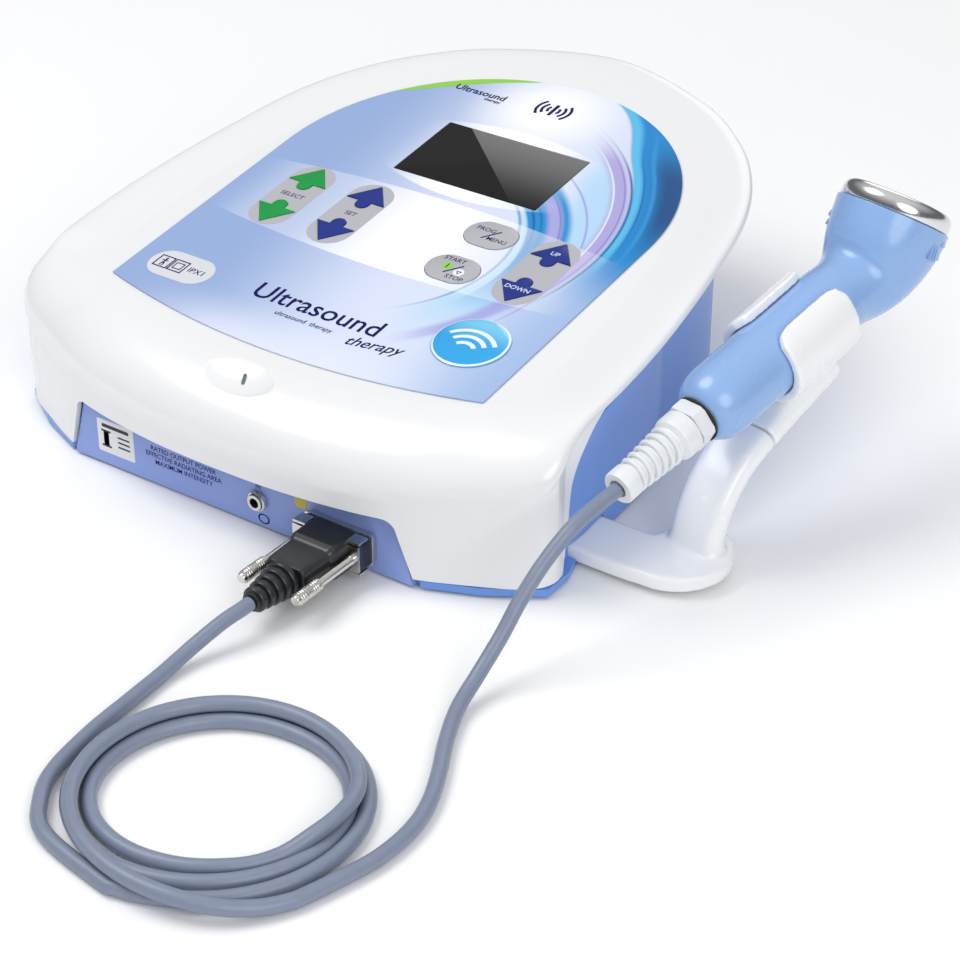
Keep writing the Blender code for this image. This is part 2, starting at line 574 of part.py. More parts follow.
# ---------------------------------------------------------------- holder
def make_holder(console, white, steel):
    arm_outline = [(0.100, 0.0098), (0.142, 0.0098)]
    for i in range(9):
        angle = math.radians(-80 + 145 * i / 8)
        arm_outline.append((0.1545 + 0.0226 * math.cos(angle), 0.0330 + 0.0226 * math.sin(angle)))
    arm_outline += [(0.1480, 0.0490), (0.1440, 0.0355), (0.100, 0.0355)]
    arm = add("holder_arm", prism(arm_outline, 0.0024, 0.0088), white, console)
    across = Vector((math.cos(APPLICATOR_AZIMUTH), -math.sin(APPLICATOR_AZIMUTH), 0))
    ahead = Vector((math.sin(APPLICATOR_AZIMUTH), math.cos(APPLICATOR_AZIMUTH), 0))
    up = Vector((0, 0, 1))
    foot = Vector((*POST_FOOT, 0))

    def section(at, direction, width, thick):
        """A rounded bar section standing across the post's own direction."""
        normal = across.cross(direction).normalized()
        outline = rounded(width, thick, thick * 0.42, 3)
        return [tuple(at + across * x + normal * y) for x, y in outline]

    def bar(line, widths, thicks):
        count = 12
        path = spline([(s, h, 0) for s, h in line], count)
        rings = []
        for i in range(count):
            before, after = path[max(i - 1, 0)], path[min(i + 1, count - 1)]
            direction = (ahead * (after.x - before.x) + up * (after.y - before.y)).normalized()
            t = i / (count - 1)
            at = foot + ahead * path[i].x + up * path[i].y
            rings.append(section(at, direction, widths[0] + (widths[1] - widths[0]) * t,
                                 thicks[0] + (thicks[1] - thicks[0]) * t))
        return loft(rings)

    post_line = [(0.0, 0.0040), (0.0, 0.0100), (0.0016, 0.0177), (0.0055, 0.0265), (0.0115, 0.0342),
                 (0.0190, 0.0405), (0.0290, 0.0455)]
    boolean(arm, cutter("holder_post", bar(post_line, (POST_WIDTH, POST_WIDTH), (POST_THICK, POST_THICK)),
                        console), "UNION")

    grip = along(grip_axis(), GRIP_END)
    clip_outline = []
    start, end = math.pi / 2 + CLIP_OPENING, math.pi / 2 + math.tau - CLIP_OPENING
    for i in range(21):
        angle = start + (end - start) * i / 20
        clip_outline.append((CLIP_OUTER * math.cos(angle), CLIP_OUTER * math.sin(angle)))
    for i in range(21):
        angle = end + (start - end) * i / 20
        clip_outline.append((CLIP_INNER * math.cos(angle), CLIP_INNER * math.sin(angle)))
    cradle = add("holder_cradle", prism(clip_outline, CLIP_START, CLIP_START + CLIP_LENGTH), white, console, grip)
    neck_line = [(0.02936, 0.04566), (0.0400, 0.0500), (0.0560, 0.0560), (0.0680, 0.0605)]
    boolean(cradle, cutter("cradle_neck", bar(neck_line, (POST_WIDTH, 0.018), (POST_THICK, 0.0075)), console), "UNION")
    bore = prism([(CLIP_INNER * math.cos(a), CLIP_INNER * math.sin(a))
                  for a in (math.tau * i / 24 for i in range(24))], 0.0, 0.12)
    boolean(cradle, cutter("cradle_bore", bore, console, grip))
    for index, y in enumerate((0.016, 0.029), start=1):
        profile = [(0, 0), (0.0028, 0), (0.0028, 0.0016), (0.0013, 0.0016), (0.0013, 0.0020), (0, 0.0020)]
        spot = Matrix.Translation((0.1060, y, 0.0092))
        add(f"holder_screw_{index}", turned(profile, 16), steel, console, spot)


# ---------------------------------------------------------------- applicator
def grip_axis(rise=GRIP_RISE):
    return Vector((math.sin(APPLICATOR_AZIMUTH) * math.cos(rise),
                   math.cos(APPLICATOR_AZIMUTH) * math.cos(rise), math.sin(rise)))


def handle_path():
    """Centre line of the handle as (point, direction, radius), from its lower end to the rim."""
    rim_rise, grip = HEAD_RISE, grip_axis()
    start = Vector(GRIP_END)
    bend = start + grip * 0.0720
    rim = Vector((0.1781, 0.1444, 0.1071))
    lean = grip_axis(rim_rise)
    table = []
    for distance, radius in ((0.0, 0.0080), (0.0020, 0.0112), (0.0055, 0.0135), (0.0110, GRIP_RADIUS),
                             (0.0300, GRIP_RADIUS), (0.0550, GRIP_RADIUS)):
        table.append((start + grip * distance, grip, radius))
    for i in range(9):
        t = i / 8
        a, b = bend + grip * 0.020, rim - lean * 0.030
        point = bend * (1 - t) ** 3 + a * 3 * t * (1 - t) ** 2 + b * 3 * t * t * (1 - t) + rim * t ** 3
        slope = ((a - bend) * (1 - t) ** 2 + (b - a) * 2 * t * (1 - t) + (rim - b) * t * t).normalized()
        radius = GRIP_RADIUS - 0.0006 * math.sin(min(1, t / 0.3) * math.pi / 2)
        radius += (RIM_RADIUS - radius) * smoothstep(0.14, 1.05, t)
        table.append((point, slope, radius))
    return table


def make_applicator(console, blue, chrome, black, white, ceramic):
    table = handle_path()
    side = Vector((math.cos(APPLICATOR_AZIMUTH), -math.sin(APPLICATOR_AZIMUTH), 0))

    def rings(shrink, rows):
        found = []
        for point, slope, radius in rows:
            normal = side.cross(slope)
            found.append([tuple(point + (side * math.cos(a) + normal * math.sin(a)) * (radius - shrink))
                          for a in (math.tau * (i + 0.5) / 28 for i in range(28))])
        return found

    lean = grip_axis(HEAD_RISE)
    rim = table[-1][0]
    cavity = rings(0.0028, table[2:])
    cavity.append([tuple(Vector(p) + lean * 0.004) for p in cavity[-1]])
    gland_bore = along(grip_axis(), GRIP_END)
    for word, sign in (("left", -1), ("right", 1)):
        half = add(f"handle_{word}", loft(rings(0.0, table)), blue, console)
        boolean(half, cutter(f"handle_{word}_cavity", loft(cavity), console))
        hole = turned([(0, -0.01), (0.0060, -0.01), (0.0060, 0.02), (0, 0.02)], 20)
        boolean(half, cutter(f"handle_{word}_bore", hole, console, gland_bore))
        plane = Matrix.Translation((GRIP_END[0], GRIP_END[1], 0)) @ Matrix.Rotation(-APPLICATOR_AZIMUTH, 4, "Z")
        away = box(0.08, 0.40, 0.40, (-sign * (0.04 - GAP / 2), 0.06, 0.05))
        boolean(half, cutter(f"handle_{word}_other_side", away, console, plane))

    face = along(lean, rim)
    r = HEAD_RADIUS
    head = [(0, 0.0038), (0.0150, 0.0038), (0.0150, GAP * 2), (r, GAP * 2), (r, 0.0036)]
    for i in range(1, 6):
        angle = math.radians(18 * i)
        head.append((r - 0.0045 * (1 - math.cos(angle)), 0.0036 + 0.0044 * math.sin(angle)))
    head.append((0, HEAD_HEIGHT))
    add("treatment_head", turned(head, 40), chrome, console, face)
    seal = ring_solid([(0.0158, -0.0016), (0.0192, -0.0016), (0.0192, GAP), (0.0158, GAP)], 32)
    add("head_seal", seal, black, console, face)
    add("piezo_disc", turned([(0, 0.0012), (0.0125, 0.0012), (0.0125, 0.0034), (0, 0.0034)], 32), ceramic,
        console, face)

    grip = along(grip_axis(), GRIP_END)
    gasket = ring_solid([(0.0034, -0.0011), (0.0094, -0.0011), (0.0094, -GAP), (0.0034, -GAP)], 24)
    add("gland_gasket", gasket, black, console, grip)
    hexagon = [(0.0098 * math.cos(a), 0.0098 * math.sin(a)) for a in (math.tau * i / 6 for i in range(6))]
    nut = add("gland_nut", prism(hexagon, -0.0074, -0.0014), white, console, grip)
    boolean(nut, cutter("gland_spigot", turned([(0, -0.0132), (0.0056, -0.0132), (0.0056, -0.0016),
                                                (0, -0.0016)], 20), console, grip), "UNION")
    bore = turned([(0, -0.03), (0.0031, -0.03), (0.0031, 0.03), (0, 0.03)], 16)
    boolean(nut, cutter("gland_nut_bore", bore, console, grip))

    cap = [(0.0061, -0.0077), (0.0087, -0.0077), (0.0087, -0.0135), (0.0078, -0.0160)]
    for k in range(6):
        radius = 0.0078 - 0.00035 * k
        at = -0.0165 - 0.0034 * k
        cap += [(radius - 0.0016, at), (radius, at - 0.0006), (radius, at - 0.0020), (radius - 0.0016, at - 0.0026)]
    cap += [(0.0064, -0.0372), (0.0064, -GLAND_LENGTH), (0.0036, -GLAND_LENGTH), (0.0036, -0.0136), (0.0061, -0.0136)]
    add("gland_cap", ring_solid(cap, 24), white, console, grip)


# ---------------------------------------------------------------- lead
def cord_tube(name, route, mat, console):
    """A round lead along a smooth curve through its route points."""
    path = even(spline(route, 12 * len(route)), 5 * CORD_RADIUS)
    curve = bpy.data.curves.new(name, "CURVE")
    curve.dimensions = "3D"
    curve.bevel_depth = CORD_RADIUS
    curve.bevel_resolution = 2
    curve.use_fill_caps = True
    strand = curve.splines.new("POLY")
    strand.points.add(len(path) - 1)
    for point, place in zip(strand.points, path):
        point.co = (*place, 1.0)
    curve.materials.append(mat)
    obj = bpy.data.objects.new(name, curve)
    bpy.context.collection.objects.link(obj)
    obj.parent = console


PLUG_ROUTE = [(0.0522, -0.0908, 0.0120), (0.0522, -0.0950, 0.0120), (0.0502, -0.1030, 0.0104),
              (0.0474, -0.1146, 0.0065), (0.0464, -0.1220, 0.0045), (0.0460, -0.1320, 0.0029),
              (0.0470, -0.1500, 0.0029), (0.0482, -0.1700, 0.0029), (0.0520, -0.1920, 0.0029),
              (0.0590, -0.2055, 0.0029), (0.0720, -0.2174, 0.0029), (0.0860, -0.2243, 0.0029)]
HANDSET_ROUTE = [(0.1529, -0.0069, 0.0535), (0.1511, -0.0154, 0.0514), (0.1480, -0.0283, 0.0469),
                 (0.1447, -0.0415, 0.0373), (0.1426, -0.0522, 0.0273), (0.1415, -0.0620, 0.0175),
                 (0.1408, -0.0750, 0.0085), (0.1424, -0.0890, 0.0038), (0.1490, -0.1050, 0.0029),
                 (0.1575, -0.1210, 0.0029), (0.1640, -0.1360, 0.0029), (0.1668, -0.1500, 0.0029),
                 (0.1662, -0.1660, 0.0029), (0.1620, -0.1820, 0.0029), (0.1600, -0.1880, 0.0029)]


def make_lead(console, grey):
    cord_tube("lead_to_plug", PLUG_ROUTE, grey, console)
    cord_tube("lead_to_handset", HANDSET_ROUTE, grey, console)
    low, high = 0.0001, COIL_HEIGHT
    coil = ring_solid([(COIL_INNER + 0.002, low), (COIL_OUTER - 0.001, low), (COIL_OUTER, 0.0015), (COIL_OUTER, 0.0050),
                       (COIL_OUTER - 0.003, high - 0.002), (COIL_OUTER - 0.007, high),
                       (COIL_INNER + 0.004, high), (COIL_INNER, 0.0070), (COIL_INNER, 0.0020)], 40)
    add("lead_coil", coil, grey, console, Matrix.Translation((*COIL_CENTRE, 0)))


# ---------------------------------------------------------------- assembly
def main():
    clear_scene()
    console = empty("console_place", Matrix.Translation((CONSOLE_X, CONSOLE_Y, 0)))
    tilt = Matrix.Translation((0, 0, KEYPAD_FRONT_Z)) @ Matrix.Rotation(KEYPAD_TILT, 4, "X")
    keypad = empty("keypad_place", tilt, console)
    white = finish("cover_white", (0.88, 0.89, 0.90), 0.22)
    blue = finish("housing_blue", (0.16, 0.30, 0.66), 0.35)
    panel_blue = finish("panel_blue", (0.23, 0.32, 0.68), 0.40)
    label = finish("keypad_label", (0.45, 0.58, 0.85), 0.35)
    glass = finish("display_glass", (0.02, 0.02, 0.02), 0.08)
    key_grey = finish("key_grey", (0.45, 0.46, 0.48), 0.40)
    green = finish("key_green", (0.01, 0.40, 0.08), 0.35)
    navy = finish("key_navy", (0.02, 0.05, 0.33), 0.35)
    board = finish("board_green", (0.02, 0.20, 0.08), 0.50)
    black = finish("black_plastic", (0.02, 0.02, 0.022), 0.45)
    rubber = finish("rubber_black", (0.02, 0.02, 0.02), 0.80)
    red = finish("rocker_black", (0.03, 0.03, 0.03), 0.35)
    nickel = finish("nickel", (0.62, 0.60, 0.57), 0.25, 1.0)
    chrome = finish("chrome", (0.80, 0.80, 0.82), 0.06, 1.0)
    nylon = finish("gland_nylon", (0.84, 0.85, 0.86), 0.40)
    cord = finish("cord_grey", (0.24, 0.29, 0.38), 0.50)
    ceramic = finish("ceramic", (0.75, 0.70, 0.60), 0.60)

    make_top_cover(console, keypad, white)
    make_front_panel(console, panel_blue)
    make_base_housing(console, blue)
    make_keypad(keypad, label, glass, key_grey, green, navy)
    make_electronics(console, keypad, board, black, nickel, key_grey)
    make_rear(console, black, nickel, red)
    make_fasteners(console, rubber, nickel)
    make_jack(console, nickel, black)
    make_serial_plug(console, nickel, black, nickel)
    make_holder(console, white, nickel)
    make_applicator(console, blue, chrome, black, nylon, ceramic)
    make_lead(console, cord)


if __name__ == "__main__":
    main()
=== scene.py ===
"""Ultrasound therapy device: the looks of its console, keypad, holder, applicator and lead."""

import math

import bmesh
import bpy
from mathutils import Matrix, Vector


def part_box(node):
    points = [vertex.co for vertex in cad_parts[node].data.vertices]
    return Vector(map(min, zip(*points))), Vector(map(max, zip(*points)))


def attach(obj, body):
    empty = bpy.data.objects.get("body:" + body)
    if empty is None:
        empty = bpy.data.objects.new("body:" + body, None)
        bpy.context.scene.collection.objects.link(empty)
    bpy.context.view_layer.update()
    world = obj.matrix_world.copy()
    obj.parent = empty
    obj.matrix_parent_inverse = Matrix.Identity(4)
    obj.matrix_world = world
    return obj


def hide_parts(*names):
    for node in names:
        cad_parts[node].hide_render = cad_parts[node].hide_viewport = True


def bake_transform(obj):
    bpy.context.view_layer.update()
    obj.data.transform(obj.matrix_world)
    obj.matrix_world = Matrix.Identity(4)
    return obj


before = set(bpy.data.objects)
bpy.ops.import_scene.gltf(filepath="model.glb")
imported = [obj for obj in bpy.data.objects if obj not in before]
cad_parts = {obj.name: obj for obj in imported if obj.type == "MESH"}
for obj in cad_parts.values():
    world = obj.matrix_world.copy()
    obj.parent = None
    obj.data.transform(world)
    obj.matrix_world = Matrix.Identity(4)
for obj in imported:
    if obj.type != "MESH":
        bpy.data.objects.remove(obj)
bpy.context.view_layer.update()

bl_info = {
    "name": "Ultrasound therapy device",
    "version": (1, 0, 0),
    "blender": (4, 5, 0),
    "location": "View3D > Sidebar > Therapy device",
    "description": "Builds the console, keypad, holder, applicator and lead of an ultrasound therapy device",
    "category": "Add Mesh",
}

# ---------------------------------------------------------------- shared measurements
film_low, film_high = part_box("keypad_overlay")
panel_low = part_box("front_panel")[0]
MOVE, TURN = Matrix.Translation, Matrix.Rotation
PANEL_FACE_Y = -0.0360
CONSOLE = MOVE(((film_low.x + film_high.x) / 2, panel_low.y - PANEL_FACE_Y, 0.0))
TILT = math.radians(8.27)
PLANE_Z = 0.0640
PLANE = MOVE((0, 0, PLANE_Z)) @ TURN(TILT, 4, "X")
KEYPAD = CONSOLE @ PLANE
FACE_FRONT = TURN(math.pi / 2, 4, "X")
SIDE_ON = Matrix(((0, 0, 1, 0), (1, 0, 0, 0), (0, 1, 0, 0), (0, 0, 0, 1)))
PANEL_FACE = CONSOLE @ MOVE((0, PANEL_FACE_Y, 0)) @ FACE_FRONT
MILLIMETRE = 0.001
VIEW_AZIMUTH = math.radians(35.15)
VIEW_RISE = math.radians(31.98)
VIEW_DISTANCE = 0.96926
GRIP_AZIMUTH = math.radians(9.5)
GRIP_SIDE = Vector((math.cos(GRIP_AZIMUTH), -math.sin(GRIP_AZIMUTH), 0))
GRIP_RISE = math.radians(14.5)
GRIP_END = Vector((0.1600, 0.0354, 0.0646))
LABEL_HALF_WIDTH = 0.0903
LABEL_ARCH_Y = 0.1145
LABEL_BOW = 0.0122
KEY_ROW_Y = 0.0788
ARROWS = (("select", -0.0606), ("set", -0.0302), ("level", 0.0610))
OVALS = (("prog_menu", (0.0305, 0.0920)), ("start_stop", (0.0305, 0.0653)))
WINDOW_CENTRE = (0.0, 0.1362)
WINDOW_OPENING = (0.0715, 0.0415)
LAMP_SLOPE = math.radians(16)
SERIAL_PORT = (0.0522, 0.0120)
JACK_PORT = (0.0115, 0.0125)
SCREW_REACH = 0.0125
# heights of thin prints over the keypad's plane, from the film's top to the arrow keys' tops
FILM_PRINT = 0.00082
FILM_INK = 0.00084
PILL_TOP = 0.00087
SYMBOL_INK = 0.00088
PILL_INK = 0.00089
CORNER_INK = 0.00092
OVAL_PRINT = 0.00131
OVAL_INK = 0.00133
OVAL_MARK = 0.00136
ARROW_INK = 0.00143

COVER_FRONT = ((0.780, 0.0), (0.800, 0.0), (0.852, -0.0007), (0.900, -0.0027), (0.941, -0.0059),
               (0.973, -0.0100), (0.993, -0.0148), (1.000, -0.0200), (1.000, -0.0240))
COVER_SIDE = ((0.780, 0.0), (0.800, 0.0), (0.865, 0.0006), (0.925, 0.0013), (0.965, 0.0015),
              (0.988, 0.0011), (0.999, 0.0), (1.000, -0.0014), (0.976, -0.0038))
PARTING = ((-0.0022, 0.005), (0.000, 0.015), (0.002, 0.025), (0.004, 0.038), (0.008, 0.0455),
           (0.0145, 0.0530), (0.021, 0.0592), (0.031, 0.0648), (0.045, 0.0678), (0.068, 0.0708),
           (0.250, 0.0973))
PLUG_ROUTE = ((0.0522, -0.0908, 0.0120), (0.0522, -0.0950, 0.0120), (0.0502, -0.1030, 0.0104),
              (0.0474, -0.1146, 0.0065), (0.0464, -0.1220, 0.0045), (0.0460, -0.1320, 0.0029),
              (0.0470, -0.1500, 0.0029), (0.0482, -0.1700, 0.0029), (0.0520, -0.1920, 0.0029),
              (0.0590, -0.2055, 0.0029), (0.0720, -0.2174, 0.0029), (0.0860, -0.2243, 0.0029))
HANDSET_ROUTE = ((0.1600, -0.1880, 0.0029), (0.1620, -0.1820, 0.0029), (0.1662, -0.1660, 0.0029),
                 (0.1668, -0.1500, 0.0029), (0.1640, -0.1360, 0.0029), (0.1575, -0.1210, 0.0029),
                 (0.1490, -0.1050, 0.0029), (0.1424, -0.0890, 0.0038), (0.1408, -0.0750, 0.0085),
                 (0.1415, -0.0620, 0.0175), (0.1426, -0.0522, 0.0273), (0.1447, -0.0415, 0.0373),
                 (0.1480, -0.0283, 0.0469), (0.1511, -0.0154, 0.0514), (0.1529, -0.0069, 0.0535))
COIL_CENTRE = Vector((0.1075, -0.1735, 0.0))
# angle from the viewing direction in degrees, radius and height in millimetres of the loose turns, the last
# of which lies on the others
COIL_TURNS = ((-130, 50.5, 2.9), (-116, 48.9, 2.9), (-99, 47.2, 2.9), (-70, 46.6, 2.9), (-40, 47.2, 2.9),
              (-10, 48.5, 2.9), (20, 49.0, 2.9), (50, 48.6, 2.9), (93, 49.4, 2.9), (120, 50.2, 2.9),
              (147, 51.0, 2.9), (170, 50.2, 2.9), (192, 47.4, 2.9), (214, 44.4, 2.9), (240, 41.0, 2.9),
              (270, 39.0, 2.9), (300, 39.6, 2.9), (330, 41.8, 2.9), (360, 43.0, 2.9), (390, 43.0, 2.9),
              (420, 42.6, 2.9), (450, 43.3, 2.9), (490, 44.2, 2.9), (520, 44.0, 2.9), (545, 41.4, 2.9),
              (575, 36.4, 2.9), (602, 33.0, 2.9), (632, 31.8, 2.9), (657, 33.4, 3.0), (672, 35.4, 4.2),
              (686, 38.4, 7.2), (702, 42.2, 8.8), (725, 45.6, 8.1), (760, 46.0, 7.8), (800, 46.3, 7.8),
              (845, 47.2, 7.9), (880, 47.6, 8.0), (905, 47.6, 8.5), (926, 47.4, 8.5), (946, 48.0, 8.6),
              (964, 49.8, 8.6), (980, 51.9, 7.8), (995, 53.5, 5.6), (1010, 54.3, 3.6), (1022, 54.6, 2.9))


# ---------------------------------------------------------------- properties
class DeviceSizes(bpy.types.PropertyGroup):
    lead_diameter: bpy.props.FloatProperty(
        name="Lead diameter", description="Outside diameter of the lead", default=0.0056, min=0.003,
        max=0.008, unit="LENGTH")
    cover_wall: bpy.props.FloatProperty(
        name="Cover wall", description="Wall thickness of the top cover", default=0.0026, min=0.001,
        max=0.005, unit="LENGTH")
    dish_depth: bpy.props.FloatProperty(
        name="Lamp dish depth", description="Depth of the dish round the front lamp", default=0.0019, min=0.0,
        max=0.0024, unit="LENGTH")
    key_round: bpy.props.FloatProperty(
        name="Key edge", description="Rounding of the keys' top edges", default=0.00025, min=0.0, max=0.0005,
        unit="LENGTH")
    gland_turns: bpy.props.FloatProperty(
        name="Gland turns", description="Turns of the spiral on the cord gland", default=6.2, min=2.0,
        max=9.0)
    knurl_count: bpy.props.IntProperty(
        name="Knurl ridges", description="Ridges round a thumbscrew's knob", default=18, min=8, max=40)


class DeviceColours(bpy.types.PropertyGroup):
    cover: bpy.props.FloatVectorProperty(
        name="Cover", description="Gloss white of the cover and holder", default=(0.82, 0.83, 0.845),
        subtype="COLOR", min=0.0, max=1.0)
    housing: bpy.props.FloatVectorProperty(
        name="Housing", description="Blue of the console's base", default=(0.145, 0.305, 0.760),
        subtype="COLOR", min=0.0, max=1.0)
    front: bpy.props.FloatVectorProperty(
        name="Connector panel", description="Violet blue of the connector panel",
        default=(0.265, 0.365, 0.760), subtype="COLOR", min=0.0, max=1.0)
    handle: bpy.props.FloatVectorProperty(
        name="Handle", description="Light blue of the applicator's handle", default=(0.268, 0.440, 0.770),
        subtype="COLOR", min=0.0, max=1.0)
    lead: bpy.props.FloatVectorProperty(
        name="Lead", description="Slate grey of the lead", default=(0.208, 0.246, 0.340), subtype="COLOR",
        min=0.0, max=1.0)
    ink: bpy.props.FloatVectorProperty(
        name="Ink", description="Navy of the printed lettering", default=(0.007, 0.006, 0.105),
        subtype="COLOR", min=0.0, max=1.0)


# ---------------------------------------------------------------- shading helpers
class Field:
    """A number that varies over a surface, built from math nodes with ordinary arithmetic."""

    def __init__(self, tree, socket):
        self.tree = tree
        self.socket = socket

    def _math(self, kind, *others):
        node = self.tree.nodes.new("ShaderNodeMath")
        node.operation = kind
        for index, value in enumerate((self, *others)):
            if isinstance(value, Field):
                self.tree.links.new(value.socket, node.inputs[index])
            else:
                node.inputs[index].default_value = value
        return Field(self.tree, node.outputs[0])

    def __add__(self, other):
        return self._math("ADD", other)

    def __sub__(self, other):
        return self._math("SUBTRACT", other)

    def __mul__(self, other):
        return self._math("MULTIPLY", other)

    def __rsub__(self, other):
        return (self * -1.0) + other

    __radd__ = __add__
    __rmul__ = __mul__

    def size(self):
        return self._math("ABSOLUTE")

    def root(self):
        return self._math("SQRT")

    def rise(self, low, high):
        """0 up to low and 1 from high, with a smooth climb; high may be the lower one for a fall."""
        node = self.tree.nodes.new("ShaderNodeMapRange")
        node.interpolation_type = "SMOOTHSTEP"
        self.tree.links.new(self.socket, node.inputs["Value"])
        node.inputs["From Min"].default_value = min(low, high)
        node.inputs["From Max"].default_value = max(low, high)
        node.inputs["To Min"].default_value = 0.0 if low < high else 1.0
        node.inputs["To Max"].default_value = 1.0 if low < high else 0.0
        return Field(self.tree, node.outputs["Result"])

    def hump(self, start, peak_low, peak_high, end):
        return self.rise(start, peak_low) * self.rise(end, peak_high)


class Finish:
    """A material with a Principled surface and small helpers for its colour and relief."""

    def __init__(self, name, roughness, metallic=0.0, coat=0.0, coat_roughness=0.06):
        self.material = bpy.data.materials.new(name)
        self.material.use_nodes = True
        self.tree = self.material.node_tree
        self.shader = self.tree.nodes["Principled BSDF"]
        self.shader.inputs["Roughness"].default_value = roughness
        self.shader.inputs["Metallic"].default_value = metallic
        self.shader.inputs["Coat Weight"].default_value = coat
        self.shader.inputs["Coat Roughness"].default_value = coat_roughness
        self.place = self.tree.nodes.new("ShaderNodeTexCoord").outputs["Object"]

    def noise(self, scale, detail=2.0, stretch=(1.0, 1.0, 1.0)):
        mapping = self.tree.nodes.new("ShaderNodeMapping")
        mapping.inputs["Scale"].default_value = stretch
        self.tree.links.new(self.place, mapping.inputs["Vector"])
        node = self.tree.nodes.new("ShaderNodeTexNoise")
        node.inputs["Scale"].default_value = scale
        node.inputs["Detail"].default_value = detail
        self.tree.links.new(mapping.outputs["Vector"], node.inputs["Vector"])
        return Field(self.tree, node.outputs["Fac"])

    def mix(self, first, second, share):
        node = self.tree.nodes.new("ShaderNodeMix")
        node.data_type = "RGBA"
        sides = [s for s in node.inputs if s.type == "RGBA"]
        for socket, value in zip(sides, (first, second)):
            if isinstance(value, bpy.types.NodeSocket):
                self.tree.links.new(value, socket)
            else:
                socket.default_value = (*value, 1.0)
        if isinstance(share, Field):
            self.tree.links.new(share.socket, node.inputs["Factor"])
        else:
            node.inputs["Factor"].default_value = share
        return [s for s in node.outputs if s.type == "RGBA"][0]

    def colour(self, socket):
        self.tree.links.new(socket, self.shader.inputs["Base Color"])

    def relief(self, field, distance, strength=1.0):
        bump = self.tree.nodes.new("ShaderNodeBump")
        bump.inputs["Distance"].default_value = distance
        bump.inputs["Strength"].default_value = strength
        self.tree.links.new(field.socket, bump.inputs["Height"])
        self.tree.links.new(bump.outputs["Normal"], self.shader.inputs["Normal"])

    def gloss(self, field, low, high):
        node = self.tree.nodes.new("ShaderNodeMapRange")
        self.tree.links.new(field.socket, node.inputs["Value"])
        node.inputs["To Min"].default_value = low
        node.inputs["To Max"].default_value = high
        self.tree.links.new(node.outputs["Result"], self.shader.inputs["Roughness"])


def dull(material, level):
    """Weakens the mirror-like part of a finish, as a printed or textured surface has."""
    material.node_tree.nodes["Principled BSDF"].inputs["Specular IOR Level"].default_value = level
    return material


def shade(colour, factor):
    return tuple(min(1.0, c * factor) for c in colour)


def moulded(name, colour, roughness, grain=900.0, depth=0.00002, coat=0.0, tint=0.04):
    """Injection-moulded plastic: faint flow marks in its colour and a very fine grain."""
    finish = Finish(name, roughness, coat=coat)
    flow = finish.noise(14.0, 3.0)
    finish.colour(finish.mix(shade(colour, 1 - tint), shade(colour, 1 + tint), flow))
    finish.relief(finish.noise(grain, 2.0), depth, 0.5)
    finish.gloss(finish.noise(60.0, 2.0), roughness * 0.85, min(1.0, roughness * 1.15))
    return finish.material


def metal(name, colour, roughness, stretch=(1.0, 1.0, 1.0), depth=0.00001):
    """Plated or brushed metal with fine scratches along the stretched direction."""
    finish = Finish(name, roughness, metallic=1.0)
    scratch = finish.noise(700.0, 3.0, stretch)
    finish.colour(finish.mix(shade(colour, 0.90), shade(colour, 1.05), scratch))
    finish.relief(scratch, depth, 0.4)
    finish.gloss(scratch, roughness * 0.7, roughness * 1.3)
    return finish.material


def srgb(red, green, blue):
    """Linear colour of an 8-bit display colour."""
    return tuple(c / 12.92 if c <= 0.04045 else ((c + 0.055) / 1.055) ** 2.4
                 for c in (red / 255, green / 255, blue / 255))


def keypad_places(finish, place):
    """Distances across and up the tilted keypad from the origin of place, in millimetres."""
    mapping = finish.tree.nodes.new("ShaderNodeMapping")
    mapping.vector_type = "TEXTURE"
    mapping.inputs["Location"].default_value = place.translation
    mapping.inputs["Rotation"].default_value = (TILT, 0.0, 0.0)
    mapping.inputs["Scale"].default_value = (MILLIMETRE, MILLIMETRE, MILLIMETRE)
    finish.tree.links.new(finish.place, mapping.inputs["Vector"])
    split = finish.tree.nodes.new("ShaderNodeSeparateXYZ")
    finish.tree.links.new(mapping.outputs["Vector"], split.inputs["Vector"])
    return Field(finish.tree, split.outputs["X"]), Field(finish.tree, split.outputs["Y"])


